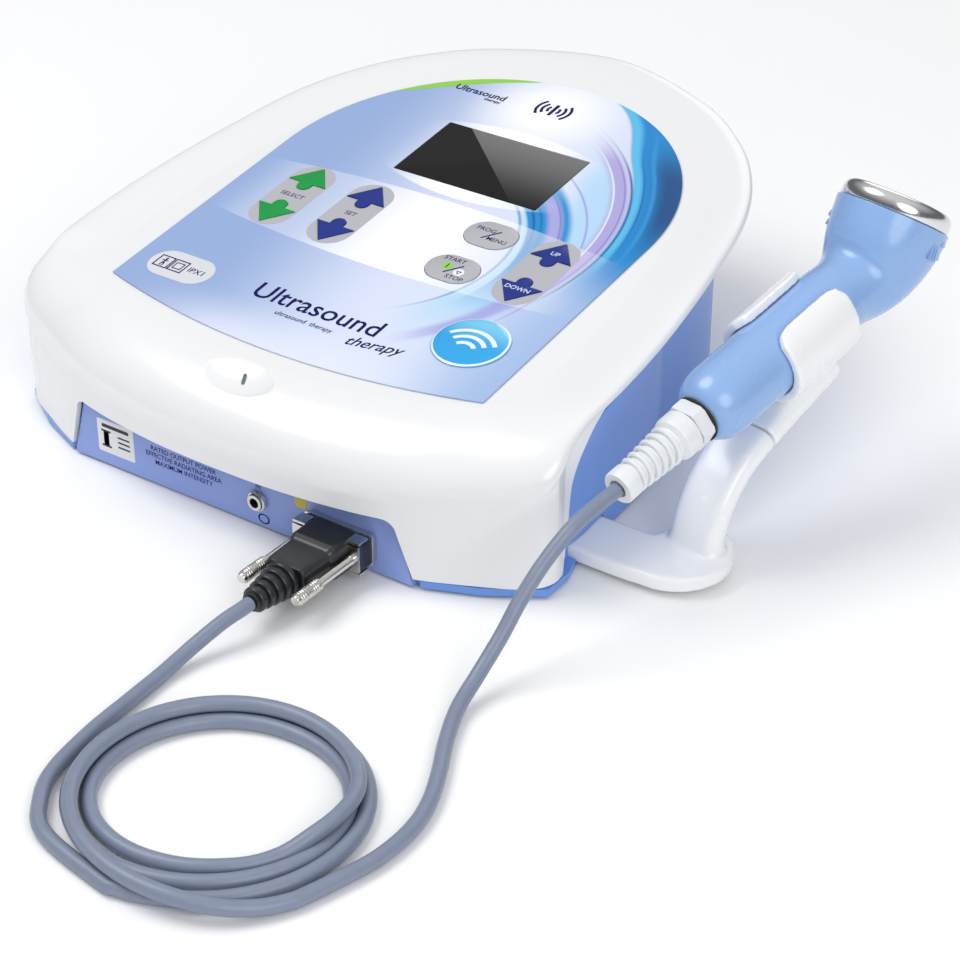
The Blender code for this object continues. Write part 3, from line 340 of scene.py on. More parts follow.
def label_print(name):
    """The keypad film: a pale blue ground, light fields behind the display and keys, and sweeping bands."""
    finish = Finish(name, 0.32)
    dull(finish.material, 0.30)
    x, y = keypad_places(finish, KEYPAD)

    def ring(centre_x, centre_y):
        return ((x - centre_x) * (x - centre_x) + (y - centre_y) * (y - centre_y)).root()

    outer = ring(-20.0, 95.0)
    inner = ring(-10.0, 75.0)
    far = ring(-40.0, 90.0) - y.rise(162.0, 206.0) * 10.5
    swoosh = (inner + (y - 115.0).size() * 0.10 + y * 0.14).rise(72.4, 74.0) * inner.rise(77.0, 73.0)
    # each layer's tone and where it covers the ones before it
    layers = (
        ((160, 186, 226), x.rise(38.0, 92.0)),
        ((226, 231, 248), y.rise(14.0, -14.0) * x.size().rise(84.0, 20.0) * 0.8),
        ((248, 249, 254), ring(-2.0, 183.0).rise(44.0, 6.0)),
        ((176, 214, 240), inner.hump(53.8, 57.0, 64.0, 84.0) * y.hump(10.0, 60.0, 118.0, 150.0)
         * x.rise(22.0, 40.0) * 0.9),
        ((176, 214, 243), outer.hump(72.0, 78.0, 88.0, 94.0) * y.hump(30.0, 70.0, 150.0, 176.0)
         * x.rise(26.0, 50.0) * 0.85),
        ((172, 162, 216), outer.hump(86.5, 91.0, 93.5, 97.6) * y.hump(30.0, 85.0, 160.0, 184.0)
         * x.rise(24.0, 46.0) * 0.95),
        ((8, 132, 202), far.rise(116.6, 118.6) * y.hump(60.0, 106.0, 300.0, 310.0)),
        ((96, 196, 236), far.hump(117.0, 118.6, 119.6, 122.4) * y.hump(70.0, 110.0, 300.0, 310.0) * 0.80),
        ((2, 62, 122), far.rise(122.0, 131.5) * y.hump(98.0, 136.0, 158.0, 190.0) * 0.9),
        ((40, 150, 214), far.hump(124.4, 125.6, 126.0, 127.4) * y.hump(80.0, 120.0, 170.0, 196.0) * 0.7),
        ((12, 138, 206), swoosh * y.hump(40.0, 84.0, 300.0, 310.0) * x.rise(20.0, 30.0)),
        ((176, 166, 222), inner.hump(64.0, 67.5, 70.0, 73.5) * y.hump(60.0, 92.0, 120.0, 134.0)
         * x.rise(28.0, 40.0) * 0.9),
        ((158, 160, 222), inner.hump(69.0, 73.0, 75.5, 79.0) * y.hump(0.0, 36.0, 70.0, 96.0)
         * x.rise(30.0, 50.0) * 0.8))
    ground = finish.mix(srgb(146, 170, 214), srgb(214, 222, 243), (x + y * 0.10).rise(-58.0, 26.0))
    for tone, share in layers:
        ground = finish.mix(ground, srgb(*tone), share)
    for centre, low, high, tone, depth, last in (
            (inner, 53.6, 55.4, (52, 152, 208), 0.85, 24.0), (outer, 96.4, 97.8, (12, 96, 156), 0.95, 52.0),
            (inner, 59.4, 60.8, (6, 84, 146), 0.85, 78.0), (inner, 62.6, 63.6, (10, 70, 132), 0.6, 84.0),
            (outer, 89.4, 90.2, (240, 244, 254), 0.8, 60.0), (outer, 94.0, 94.8, (128, 104, 196), 0.7, 40.0),
            (inner, 80.8, 82.0, (150, 132, 212), 0.7, 30.0), (far, 121.4, 122.2, (4, 84, 150), 0.70, 96.0),
            (inner, 70.4, 71.2, (60, 90, 180), 0.5, 60.0)):
        middle = (low + high) / 2
        line = centre.hump(low - 0.3, middle, middle, high + 0.3) * x.rise(14.0, 32.0)
        line = line * y.hump(last, last + 34.0, 150.0, 184.0)
        ground = finish.mix(ground, srgb(*tone), line * depth)

    bow = x * x
    lens = (y - bow * 0.0050).rise(107.4, 108.6) * (y + bow * 0.0042).rise(164.2, 163.0)
    ground = finish.mix(ground, (1.0, 1.0, 1.0), lens * x.size().rise(47.0, 6.0) * 0.92)
    strip = (y - bow * 0.00083).rise(51.6, 52.2) * (y + bow * 0.00087).rise(105.4, 104.8)
    strip = strip * ((x - 3.0).size().rise(50.0, 4.0) * 0.66 + 0.26) * x.size().rise(90.0, 66.0)
    ground = finish.mix(ground, srgb(250, 251, 255), strip)
    finish.colour(ground)
    finish.relief(finish.noise(1500.0, 1.0), 0.00001, 0.3)
    return finish.material


def window_glass(name):
    """Dark display window under a glossy hard coat, with a painted reflection in its colour: a lighter grey
    diagonal glare over its upper right half, lightest at the top.
    """
    finish = Finish(name, 0.10)
    dull(finish.material, 0.12)
    x, y = keypad_places(finish, KEYPAD)
    # painted reflection: past a diagonal line the window turns from near black to a grey glare that grows
    # lighter towards the top
    side = (x * 0.65 + y * 0.76).rise(103.1, 103.4)
    fall = y.rise(112.0, 160.0)
    painted_glare = finish.mix(srgb(34, 34, 35), srgb(118, 118, 119), fall)
    finish.colour(finish.mix(srgb(30, 30, 31), painted_glare, side))
    finish.gloss(finish.noise(30.0), 0.08, 0.14)
    return finish.material


# ---------------------------------------------------------------- mesh helpers
def new_object(name, bm, place=None):
    bmesh.ops.recalc_face_normals(bm, faces=bm.faces)
    mesh = bpy.data.meshes.new(name)
    bm.to_mesh(mesh)
    bm.free()
    if place:
        mesh.transform(place)
    return placed(name, mesh)


def placed(name, mesh):
    """A new object in the scene that holds this mesh or text."""
    obj = bpy.data.objects.new(name, mesh)
    bpy.context.scene.collection.objects.link(obj)
    return obj


def settled(obj):
    """Turns what the modifiers make into the object's own plain mesh."""
    graph = bpy.context.evaluated_depsgraph_get()
    graph.update()
    mesh = bpy.data.meshes.new_from_object(obj.evaluated_get(graph))
    old = obj.data
    obj.modifiers.clear()
    obj.data = mesh
    if old.users == 0:
        bpy.data.meshes.remove(old)
    return obj


def rounded_edges(obj, width, segments=2, angle=35.0):
    bevel = obj.modifiers.new("edge", "BEVEL")
    bevel.width = width
    bevel.segments = segments
    bevel.limit_method = "ANGLE"
    bevel.angle_limit = math.radians(angle)
    bevel.harden_normals = False
    return settled(obj)


def cut(obj, tools, operation="DIFFERENCE"):
    for tool in tools:
        modifier = obj.modifiers.new(operation.lower(), "BOOLEAN")
        modifier.operation = operation
        modifier.object = tool
    settled(obj)
    for tool in tools:
        bpy.data.objects.remove(tool, do_unlink=True)
    return obj


def dress(obj, material, body, replaces=(), smooth=35.0):
    """Gives a finished piece its finish, hangs it on the empty of the body it rides on and hides the CAD
    parts it stands for.
    """
    obj.data.materials.clear()
    obj.data.materials.append(material)
    if smooth:
        obj.data.shade_smooth()
        obj.data.set_sharp_from_angle(angle=math.radians(smooth))
    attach(obj, body)
    if replaces:
        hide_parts(*replaces)
    return obj


def loft(rings, capped=True):
    bm = bmesh.new()
    rows = [[bm.verts.new(point) for point in ring] for ring in rings]
    count = len(rows[0])
    for low, high in zip(rows, rows[1:]):
        for i in range(count):
            j = (i + 1) % count
            bm.faces.new((low[i], low[j], high[j], high[i]))
    if capped:
        bm.faces.new(rows[0][::-1])
        bm.faces.new(rows[-1])
    return bm


def prism(outline, low, high):
    return loft([[(x, y, low) for x, y in outline], [(x, y, high) for x, y in outline]])


def sheet(outline, height):
    bm = bmesh.new()
    bm.faces.new([bm.verts.new((x, y, height)) for x, y in outline])
    return bm


def turned(profile, segments, closed=False):
    """A profile of radius and height turned round the upright axis; a closed one makes a ring."""
    bm = bmesh.new()
    verts = [bm.verts.new((radius, 0.0, height)) for radius, height in profile]
    ends = verts[1:] + verts[:1] if closed else verts[1:]
    edges = [bm.edges.new(pair) for pair in zip(verts, ends)]
    bmesh.ops.spin(bm, geom=verts + edges, cent=(0, 0, 0), axis=(0, 0, 1), angle=math.tau, steps=segments,
                   use_merge=True)
    bmesh.ops.remove_doubles(bm, verts=bm.verts, dist=1e-6)
    return bm


def rod(radius, low, high, segments):
    return turned([(0, low), (radius, low), (radius, high), (0, high)], segments)


def capsule(width, depth, steps=20, centre=(0.0, 0.0)):
    radius = min(width, depth) / 2
    reach = max(width, depth) / 2 - radius
    points = []
    for end, start in ((1, -math.pi / 2), (-1, math.pi / 2)):
        for i in range(steps + 1):
            angle = start + math.pi * i / steps
            points.append((end * reach + radius * math.cos(angle), radius * math.sin(angle)))
    if depth > width:
        points = [(-y, x) for x, y in points]
    return [(x + centre[0], y + centre[1]) for x, y in points]


def rounded(width, depth, radius, steps=6, centre=(0.0, 0.0)):
    points = []
    for sx, sy, start in ((1, -1, -90), (1, 1, 0), (-1, 1, 90), (-1, -1, 180)):
        for i in range(steps + 1):
            angle = math.radians(start + 90 * i / steps)
            points.append((centre[0] + sx * (width / 2 - radius) + radius * math.cos(angle),
                           centre[1] + sy * (depth / 2 - radius) + radius * math.sin(angle)))
    return points


def spline(points, count, closed=False):
    points = [Vector(p) for p in points]
    spans = len(points) if closed else len(points) - 1
    found = []
    for k in range(count):
        at = k * spans / (count if closed else count - 1)
        i = min(int(at), spans - 1)
        t = at - i
        if closed:
            p0, p1, p2, p3 = (points[(i + o) % len(points)] for o in (-1, 0, 1, 2))
        else:
            p1, p2 = points[i], points[i + 1]
            p0 = points[i - 1] if i else p1 * 2 - p2
            p3 = points[i + 2] if i + 2 < len(points) else p2 * 2 - p1
        found.append(0.5 * (2 * p1 + (p2 - p0) * t + (2 * p0 - 5 * p1 + 4 * p2 - p3) * t * t
                            + (3 * p1 - p0 - 3 * p2 + p3) * t ** 3))
    return found


def even(points, spacing):
    """Points at one spacing along a line."""
    total = sum((b - a).length for a, b in zip(points, points[1:]))
    count = max(2, round(total / spacing) + 1)
    found = [points[0]]
    want = total / (count - 1)
    walked = 0.0
    for a, b in zip(points, points[1:]):
        step = (b - a).length
        while walked + step >= want * len(found) - 1e-9 and len(found) < count:
            found.append(a.lerp(b, (want * len(found) - walked) / step))
        walked += step
    return found


def smoothstep(low, high, value):
    t = min(1.0, max(0.0, (value - low) / (high - low)))
    return t * t * (3 - 2 * t)


def offset(outline, distance):
    """Moves each point of an outline square to its neighbours' line, inwards for a positive distance."""
    count = len(outline)
    found = []
    for i, (x, y) in enumerate(outline):
        ax, ay = outline[i - 1]
        bx, by = outline[(i + 1) % count]
        length = math.hypot(bx - ax, by - ay)
        found.append((x - (by - ay) / length * distance, y + (bx - ax) / length * distance))
    return found


def mirrored(half):
    return half + [(-x, y) for x, y in reversed(half) if x > 1e-9]


def along(axis, origin):
    """A frame at the origin whose upright direction is the axis."""
    z = Vector(axis).normalized()
    y = (Vector((0, 0, 1)) - z * z.z).normalized()
    x = y.cross(z)
    return MOVE(origin) @ Matrix((x, y, z)).transposed().to_4x4()


def voxel_fillet(obj, voxel, rounds):
    """Melts the joints of overlapping solids into each other, as a moulding's fillets do."""
    remesh = obj.modifiers.new("skin", "REMESH")
    remesh.mode = "VOXEL"
    remesh.voxel_size = voxel
    smooth = obj.modifiers.new("flow", "SMOOTH")
    smooth.factor = 0.5
    smooth.iterations = rounds
    return settled(obj)


def joined(name, meshes):
    bm = bmesh.new()
    for part in meshes:
        bmesh.ops.recalc_face_normals(part, faces=part.faces)
        loose = bpy.data.meshes.new("loose")
        part.to_mesh(loose)
        part.free()
        bm.from_mesh(loose)
        bpy.data.meshes.remove(loose)
    mesh = bpy.data.meshes.new(name)
    bm.to_mesh(mesh)
    bm.free()
    return placed(name, mesh)


def printed(name, outlines, low, high, material, body="console", place=KEYPAD):
    """Thin raised print, of one or more outlines, on the keypad or on the connector panel."""
    obj = joined(name, [prism(outline, low, high) for outline in outlines])
    obj.data.transform(place)
    return dress(obj, material, body, smooth=0)


def lettering(name, words, size, centre, height, material, bold, body="console", place=KEYPAD, shear=0.0,
              turn=0.0):
    """Printed words as a very thin flat mesh, centred on a point of the keypad or panel."""
    curve = bpy.data.curves.new(name, "FONT")
    curve.body = words
    curve.size = size
    curve.align_x = "CENTER"
    curve.align_y = "CENTER"
    curve.shear = shear
    curve.offset = bold
    curve.resolution_u = 3
    text = placed(name, curve)
    graph = bpy.context.evaluated_depsgraph_get()
    mesh = bpy.data.meshes.new_from_object(text.evaluated_get(graph))
    bpy.data.objects.remove(text, do_unlink=True)
    bpy.data.curves.remove(curve)
    mesh.transform(place @ MOVE((*centre, height)) @ TURN(turn, 4, "Z"))
    return dress(placed(name, mesh), material, body, smooth=0)


# ---------------------------------------------------------------- node trees
def node_tree(name, inputs):
    """An empty geometry tree with named inputs, its group input node and its group output node."""
    tree = bpy.data.node_groups.new(name, "GeometryNodeTree")
    for label, kind, value in inputs:
        socket = tree.interface.new_socket(label, in_out="INPUT", socket_type=kind)
        if value is not None:
            socket.default_value = value
    tree.interface.new_socket("Geometry", in_out="OUTPUT", socket_type="NodeSocketGeometry")
    return tree, tree.nodes.new("NodeGroupInput"), tree.nodes.new("NodeGroupOutput")


def grown(name, tree, values, place):
    """The plain mesh that a node tree makes with these input values."""
    obj = placed(name, bpy.data.meshes.new(name))
    modifier = obj.modifiers.new("grow", "NODES")
    modifier.node_group = tree
    for item in tree.interface.items_tree:
        if item.in_out == "INPUT" and item.name in values:
            modifier[item.identifier] = values[item.name]
    settled(obj)
    obj.data.transform(place)
    return obj


def wired(tree, *runs):
    """Links each (node, output, node, input) of the runs."""
    for source, output, target, entry in runs:
        tree.links.new(source.outputs[output], target.inputs[entry])


def finished_tree(tree, given, made, source, output):
    """Ends a tree by making the instances real and setting its material."""
    realize = tree.nodes.new("GeometryNodeRealizeInstances")
    paint = tree.nodes.new("GeometryNodeSetMaterial")
    wired(tree, (source, output, realize, "Geometry"), (realize, "Geometry", paint, "Geometry"),
          (given, "Finish", paint, "Material"), (paint, "Geometry", made, "Geometry"))
    return tree


def spiral_tree():
    """A tapering helix of round section, for the bend relief of a cord gland."""
    tree, given, made = node_tree("gland_spiral", (
        ("Turns", "NodeSocketFloat", 6.0), ("Start radius", "NodeSocketFloat", 0.008),
        ("End radius", "NodeSocketFloat", 0.006), ("Height", "NodeSocketFloat", 0.02),
        ("Thickness", "NodeSocketFloat", 0.001), ("Finish", "NodeSocketMaterial", None)))
    spiral = tree.nodes.new("GeometryNodeCurveSpiral")
    spiral.inputs["Resolution"].default_value = 40
    ring = tree.nodes.new("GeometryNodeCurvePrimitiveCircle")
    ring.inputs["Resolution"].default_value = 10
    sweep = tree.nodes.new("GeometryNodeCurveToMesh")
    sweep.inputs["Fill Caps"].default_value = True
    wired(tree, (given, "Turns", spiral, "Rotations"), (given, "Start radius", spiral, "Start Radius"),
          (given, "End radius", spiral, "End Radius"), (given, "Height", spiral, "Height"),
          (given, "Thickness", ring, "Radius"), (spiral, "Curve", sweep, "Curve"),
          (ring, "Curve", sweep, "Profile Curve"))
    return finished_tree(tree, given, made, sweep, "Mesh")


def knurl_tree():
    """Straight ridges round a knob."""
    tree, given, made = node_tree("knurl_ridges", (
        ("Count", "NodeSocketInt", 18), ("Radius", "NodeSocketFloat", 0.0023),
        ("Length", "NodeSocketFloat", 0.012), ("Ridge", "NodeSocketFloat", 0.0004),
        ("Finish", "NodeSocketMaterial", None)))
    ring = tree.nodes.new("GeometryNodeMeshCircle")
    bar = tree.nodes.new("GeometryNodeMeshCube")
    size = tree.nodes.new("ShaderNodeCombineXYZ")
    place = tree.nodes.new("GeometryNodeInstanceOnPoints")
    where = tree.nodes.new("GeometryNodeInputPosition")
    turn = tree.nodes.new("FunctionNodeAlignRotationToVector")
    turn.axis = "X"
    wired(tree, (given, "Count", ring, "Vertices"), (given, "Radius", ring, "Radius"),
          (given, "Ridge", size, "X"), (given, "Ridge", size, "Y"), (given, "Length", size, "Z"),
          (size, "Vector", bar, "Size"), (where, "Position", turn, "Vector"), (ring, "Mesh", place, "Points"),
          (bar, "Mesh", place, "Instance"), (turn, "Rotation", place, "Rotation"))
    return finished_tree(tree, given, made, place, "Instances")


# ---------------------------------------------------------------- outlines of the console
def plane_z(y):
    """Height of the tilted keypad plane at this depth."""
    return PLANE_Z + y * math.tan(TILT)


def cover_outline(count):
    half = [(0.0, -0.0480), (0.030, -0.0470), (0.060, -0.0430), (0.084, -0.0368), (0.106, -0.0272),
            (0.1225, -0.0188), (0.1298, -0.0100), (0.1292, 0.004), (0.1300, 0.028), (0.1288, 0.057),
            (0.1257, 0.085), (0.1214, 0.112), (0.1142, 0.1455), (0.1022, 0.1725), (0.0830, 0.1965),
            (0.0525, 0.2180), (0.0, 0.2330)]
    return [(p.x, p.y) for p in spline([(x, y, 0) for x, y in mirrored(half)], count, closed=True)]


def cover_rings(outline, steps, inset=0.0):
    """Rings of the cover from its flat top to its widest line and under it."""
    levels = len(COVER_FRONT)
    front = spline([(a, b, 0) for a, b in COVER_FRONT], (levels - 1) * steps + 1)
    side = spline([(a, b, 0) for a, b in COVER_SIDE], (levels - 1) * steps + 1)
    rings = []
    for level in range(len(front)):
        ring = []
        for x, y in outline:
            share = smoothstep(-0.030, 0.014, y)
            reach = front[level].x + (side[level].x - front[level].x) * share
            rise = front[level].y + (side[level].y - front[level].y) * share
            px, py = x * reach, 0.090 + (y - 0.090) * reach
            ring.append((px, py, plane_z(py) + rise - inset))
        rings.append(ring)
    return rings


def panel_outline(top, grow, bottom):
    radius = 0.006
    points = [(-0.0845 - grow, bottom), (0.0845 + grow, bottom), (0.0845 + grow, 0.0012)]
    for i in range(9):
        angle = math.radians(10 + 80 * i / 8)
        points.append((0.0775 + grow - radius + radius * math.cos(angle),
                       top - radius + radius * math.sin(angle)))
    return points + [(-x, y) for x, y in reversed(points[2:])]


def label_outline():
    """The keypad film: a half circle above straight sides and a bowed lower edge."""
    half = LABEL_HALF_WIDTH
    points = [(-half + 2 * half * i / 40, -LABEL_BOW * (1 - (i / 20 - 1) ** 2)) for i in range(41)]
    for i in range(97):
        angle = math.pi * i / 96
        points.append((half * math.cos(angle), LABEL_ARCH_Y + half * math.sin(angle)))
    return points


def arrow_outline(direction, grow=0.0):
    tip, shoulder, tail = 0.0219 + grow, 0.0099 - grow, 0.0049 - grow
    head, stem = 0.0094 + grow * 1.8, 0.0032 + grow
    points = [(0.0, tip), (-head, shoulder), (-stem, shoulder)]
    for i in range(13):
        angle = math.pi + math.pi * i / 12
        points.append((stem * math.cos(angle), tail + stem + stem * math.sin(angle)))
    points += [(stem, shoulder), (head, shoulder)]
    return [(x, direction * y) for x, y in points]


def sizes():
    return bpy.context.scene.device_sizes


def colours():
    return bpy.context.scene.device_colours


# ---------------------------------------------------------------- operators
class DEVICE_OT_stage(bpy.types.Operator):
    """Camera, floor and soft studio light"""

    bl_idname = "device.stage"
    bl_label = "Stage and camera"

    def execute(self, context):
        scene = context.scene
        back = Vector((math.sin(VIEW_AZIMUTH) * math.cos(VIEW_RISE),
                       -math.cos(VIEW_AZIMUTH) * math.cos(VIEW_RISE), math.sin(VIEW_RISE)))
        camera = bpy.data.objects.new("camera", bpy.data.cameras.new("camera"))
        camera.data.lens = 92.05
        camera.data.sensor_width = 36.0
        camera.data.clip_start = 0.05
        camera.data.clip_end = 20.0
        camera.location = CONSOLE @ Vector((0.0605, 0.0405, 0.0)) + back * VIEW_DISTANCE
        camera.rotation_euler = (-back).to_track_quat("-Z", "Y").to_euler()
        scene.collection.objects.link(camera)
        scene.camera = camera
        scene.view_settings.view_transform = "Standard"

        floor = new_object("floor", sheet(rounded(3.2, 3.2, 1.5, 24), -0.0002))
        finish = Finish("floor_paper", 0.85)
        finish.colour(finish.mix((0.93, 0.935, 0.94), (0.96, 0.962, 0.967), finish.noise(3.0)))
        floor.data.materials.append(finish.material)

        world = bpy.data.worlds.new("studio")
        world.use_nodes = True
        tree = world.node_tree
        place = tree.nodes.new("ShaderNodeTexCoord")
        split = tree.nodes.new("ShaderNodeSeparateXYZ")
        ramp = tree.nodes.new("ShaderNodeValToRGB")
        ramp.color_ramp.elements[0].position = 0.25
        ramp.color_ramp.elements[0].color = (0.20, 0.205, 0.22, 1.0)
        ramp.color_ramp.elements[1].position = 0.85
        ramp.color_ramp.elements[1].color = (1.0, 1.0, 1.0, 1.0)
        tree.links.new(place.outputs["Generated"], split.inputs["Vector"])
        tree.links.new(split.outputs["Z"], ramp.inputs["Fac"])
        seen = tree.nodes.new("ShaderNodeLightPath")
        wall = tree.nodes.new("ShaderNodeMixRGB")
        wall.inputs["Color2"].default_value = (1.25, 1.26, 1.28, 1.0)
        tree.links.new(seen.outputs["Is Camera Ray"], wall.inputs["Fac"])
        tree.links.new(ramp.outputs["Color"], wall.inputs["Color1"])
        tree.links.new(wall.outputs["Color"], tree.nodes["Background"].inputs["Color"])
        tree.nodes["Background"].inputs["Strength"].default_value = 0.72
        scene.world = world

        for name, spot, target, size, power in (
                ("key_softbox", (-0.65, -0.45, 1.35), (0.0, 0.0, 0.05), 0.9, 11.0),
                ("fill_softbox", (1.10, -0.75, 0.70), (0.1, 0.0, 0.05), 0.9, 8.0),
                ("back_softbox", (-0.30, 1.40, 0.80), (0.0, 0.05, 0.05), 0.9, 3.0)):
            lamp = bpy.data.lights.new(name, "AREA")
            lamp.shape = "DISK"
            lamp.size = size * 1.1
            lamp.energy = power
            light = bpy.data.objects.new(name, lamp)
            light.location = spot
            light.rotation_euler = (Vector(target) - Vector(spot)).to_track_quat("-Z", "Y").to_euler()
            scene.collection.objects.link(light)
        return {"FINISHED"}


class DEVICE_OT_lead(bpy.types.Operator):
    """The lead from its plug, through three loose turns, up to the applicator"""

    bl_idname = "device.lead"
    bl_label = "Lead"

    def execute(self, context):
        radius = sizes().lead_diameter / 2
        turns = []
        for point in spline(COIL_TURNS, 3 * len(COIL_TURNS)):
            angle = math.radians(point.x) + VIEW_AZIMUTH
            arm = Vector((math.cos(angle) * point.y, math.sin(angle) * point.y, point.z))
            turns.append(COIL_CENTRE + arm * MILLIMETRE)
        route = [Vector(p) for p in PLUG_ROUTE[:-1]] + turns + [Vector(p) for p in HANDSET_ROUTE[1:]]
        path = even(spline(route, 6 * len(route)), 0.0022)
        path = [CONSOLE @ point for point in path]
        length = sum((b - a).length for a, b in zip(path, path[1:]))
        rings = []
        normal = Vector((1.0, 0.0, 0.0))
        for i, point in enumerate(path):
            direction = (path[min(i + 1, len(path) - 1)] - path[max(i - 1, 0)]).normalized()
            normal = (normal - direction * normal.dot(direction)).normalized()
            across = direction.cross(normal)
            rings.append([point + (normal * math.cos(a) + across * math.sin(a)) * radius
                          for a in (math.tau * k / 16 for k in range(16))])
        lead = new_object("lead", loft(rings))
        lead.data.shade_smooth()
        lead.data.set_sharp_from_angle(angle=math.radians(60))
        finish = Finish("lead_jacket", 0.42, coat=0.12)
        soft = finish.noise(240.0, 2.0)
        tone = tuple(colours().lead)
        finish.colour(finish.mix(shade(tone, 0.92), shade(tone, 1.08), soft))
        finish.relief(finish.noise(1800.0, 2.0), 0.00003, 0.5)
        lead.data.materials.append(finish.material)
        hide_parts("lead_to_plug", "lead_coil", "lead_to_handset")
        CONSOLE @ Vector(HANDSET_ROUTE[7])
        CONSOLE @ Vector(HANDSET_ROUTE[-1])
        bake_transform(lead)
        return {"FINISHED"}


class DEVICE_OT_cover(bpy.types.Operator):
    """The white top cover with its lamp dish"""

    bl_idname = "device.cover"
    bl_label = "Top cover"

    def execute(self, context):
        wall = sizes().cover_wall
        outline = cover_outline(320)
        rings = cover_rings(outline, 4)
        rings.append([(x, y, 0.0050) for x, y, z in rings[-1]])
        cover = new_object("cover_shell", loft(rings))
        inner = offset(outline, wall)
        hollow = cover_rings(inner, 2, wall)
        hollow.append([(x, y, -0.01) for x, y, z in hollow[-1]])
        hollow_tool = new_object("cover_core", loft(hollow))
        curve = spline([(y, z, 0) for y, z in PARTING[:-1]], 46)
        side = [(-0.0022, -0.02)] + [(p.x, p.y) for p in curve] + [PARTING[-1], (0.250, -0.02)]
        sweep_tool = new_object("cover_sweep", prism(side, -0.2, 0.2), SIDE_ON)
        mouth = prism(panel_outline(0.0290, 0.0012, -0.02), 0.0, 0.05)
        mouth_tool = new_object("cover_mouth", mouth, MOVE((0, -0.030, 0)) @ FACE_FRONT)
        dish = bmesh.new()
        bmesh.ops.create_uvsphere(dish, u_segments=64, v_segments=48, radius=1.0)
        depth = sizes().dish_depth
        steep = Matrix.Diagonal((0.0200, 0.0126, 0.0052, 1.0))
        spot = PLANE @ MOVE((-0.0012, -0.0278, -0.0008)) @ TURN(LAMP_SLOPE, 4, "X")
        dish_tool = new_object("cover_dish", dish, spot @ MOVE((0, 0, 0.0052 - depth)) @ steep)
        openings = [rounded(0.0700, 0.0400, 0.001, centre=WINDOW_CENTRE)]
        openings += [capsule(0.0222, 0.0464, centre=(column, KEY_ROW_Y)) for name, column in ARROWS]
        openings += [capsule(0.0240, 0.0178, centre=centre) for name, centre in OVALS]
        wells = [new_object("cover_well", prism(opening, -0.012, 0.01), PLANE) for opening in openings]
        cut(cover, [hollow_tool, sweep_tool, mouth_tool, dish_tool] + wells)
        cover.data.transform(CONSOLE)
        material = moulded("cover_gloss", tuple(colours().cover), 0.24, 700.0, 0.00001, coat=0.35, tint=0.012)
        dress(cover, material, "console", ["top_cover"], smooth=28.0)

        lean = MOVE((0.0000, -0.0280, -0.0026)) @ TURN(LAMP_SLOPE, 4, "X") @ TURN(math.radians(22), 4, "Z")
        lens = new_object("lamp_lens", prism(capsule(0.0012, 0.0050), 0.0, 0.0004), KEYPAD @ lean)
        lamp = moulded("lamp_lens_green", srgb(38, 92, 96), 0.15, coat=0.4)
        dress(lens, lamp, "console", ["indicator_light"])
        return {"FINISHED"}


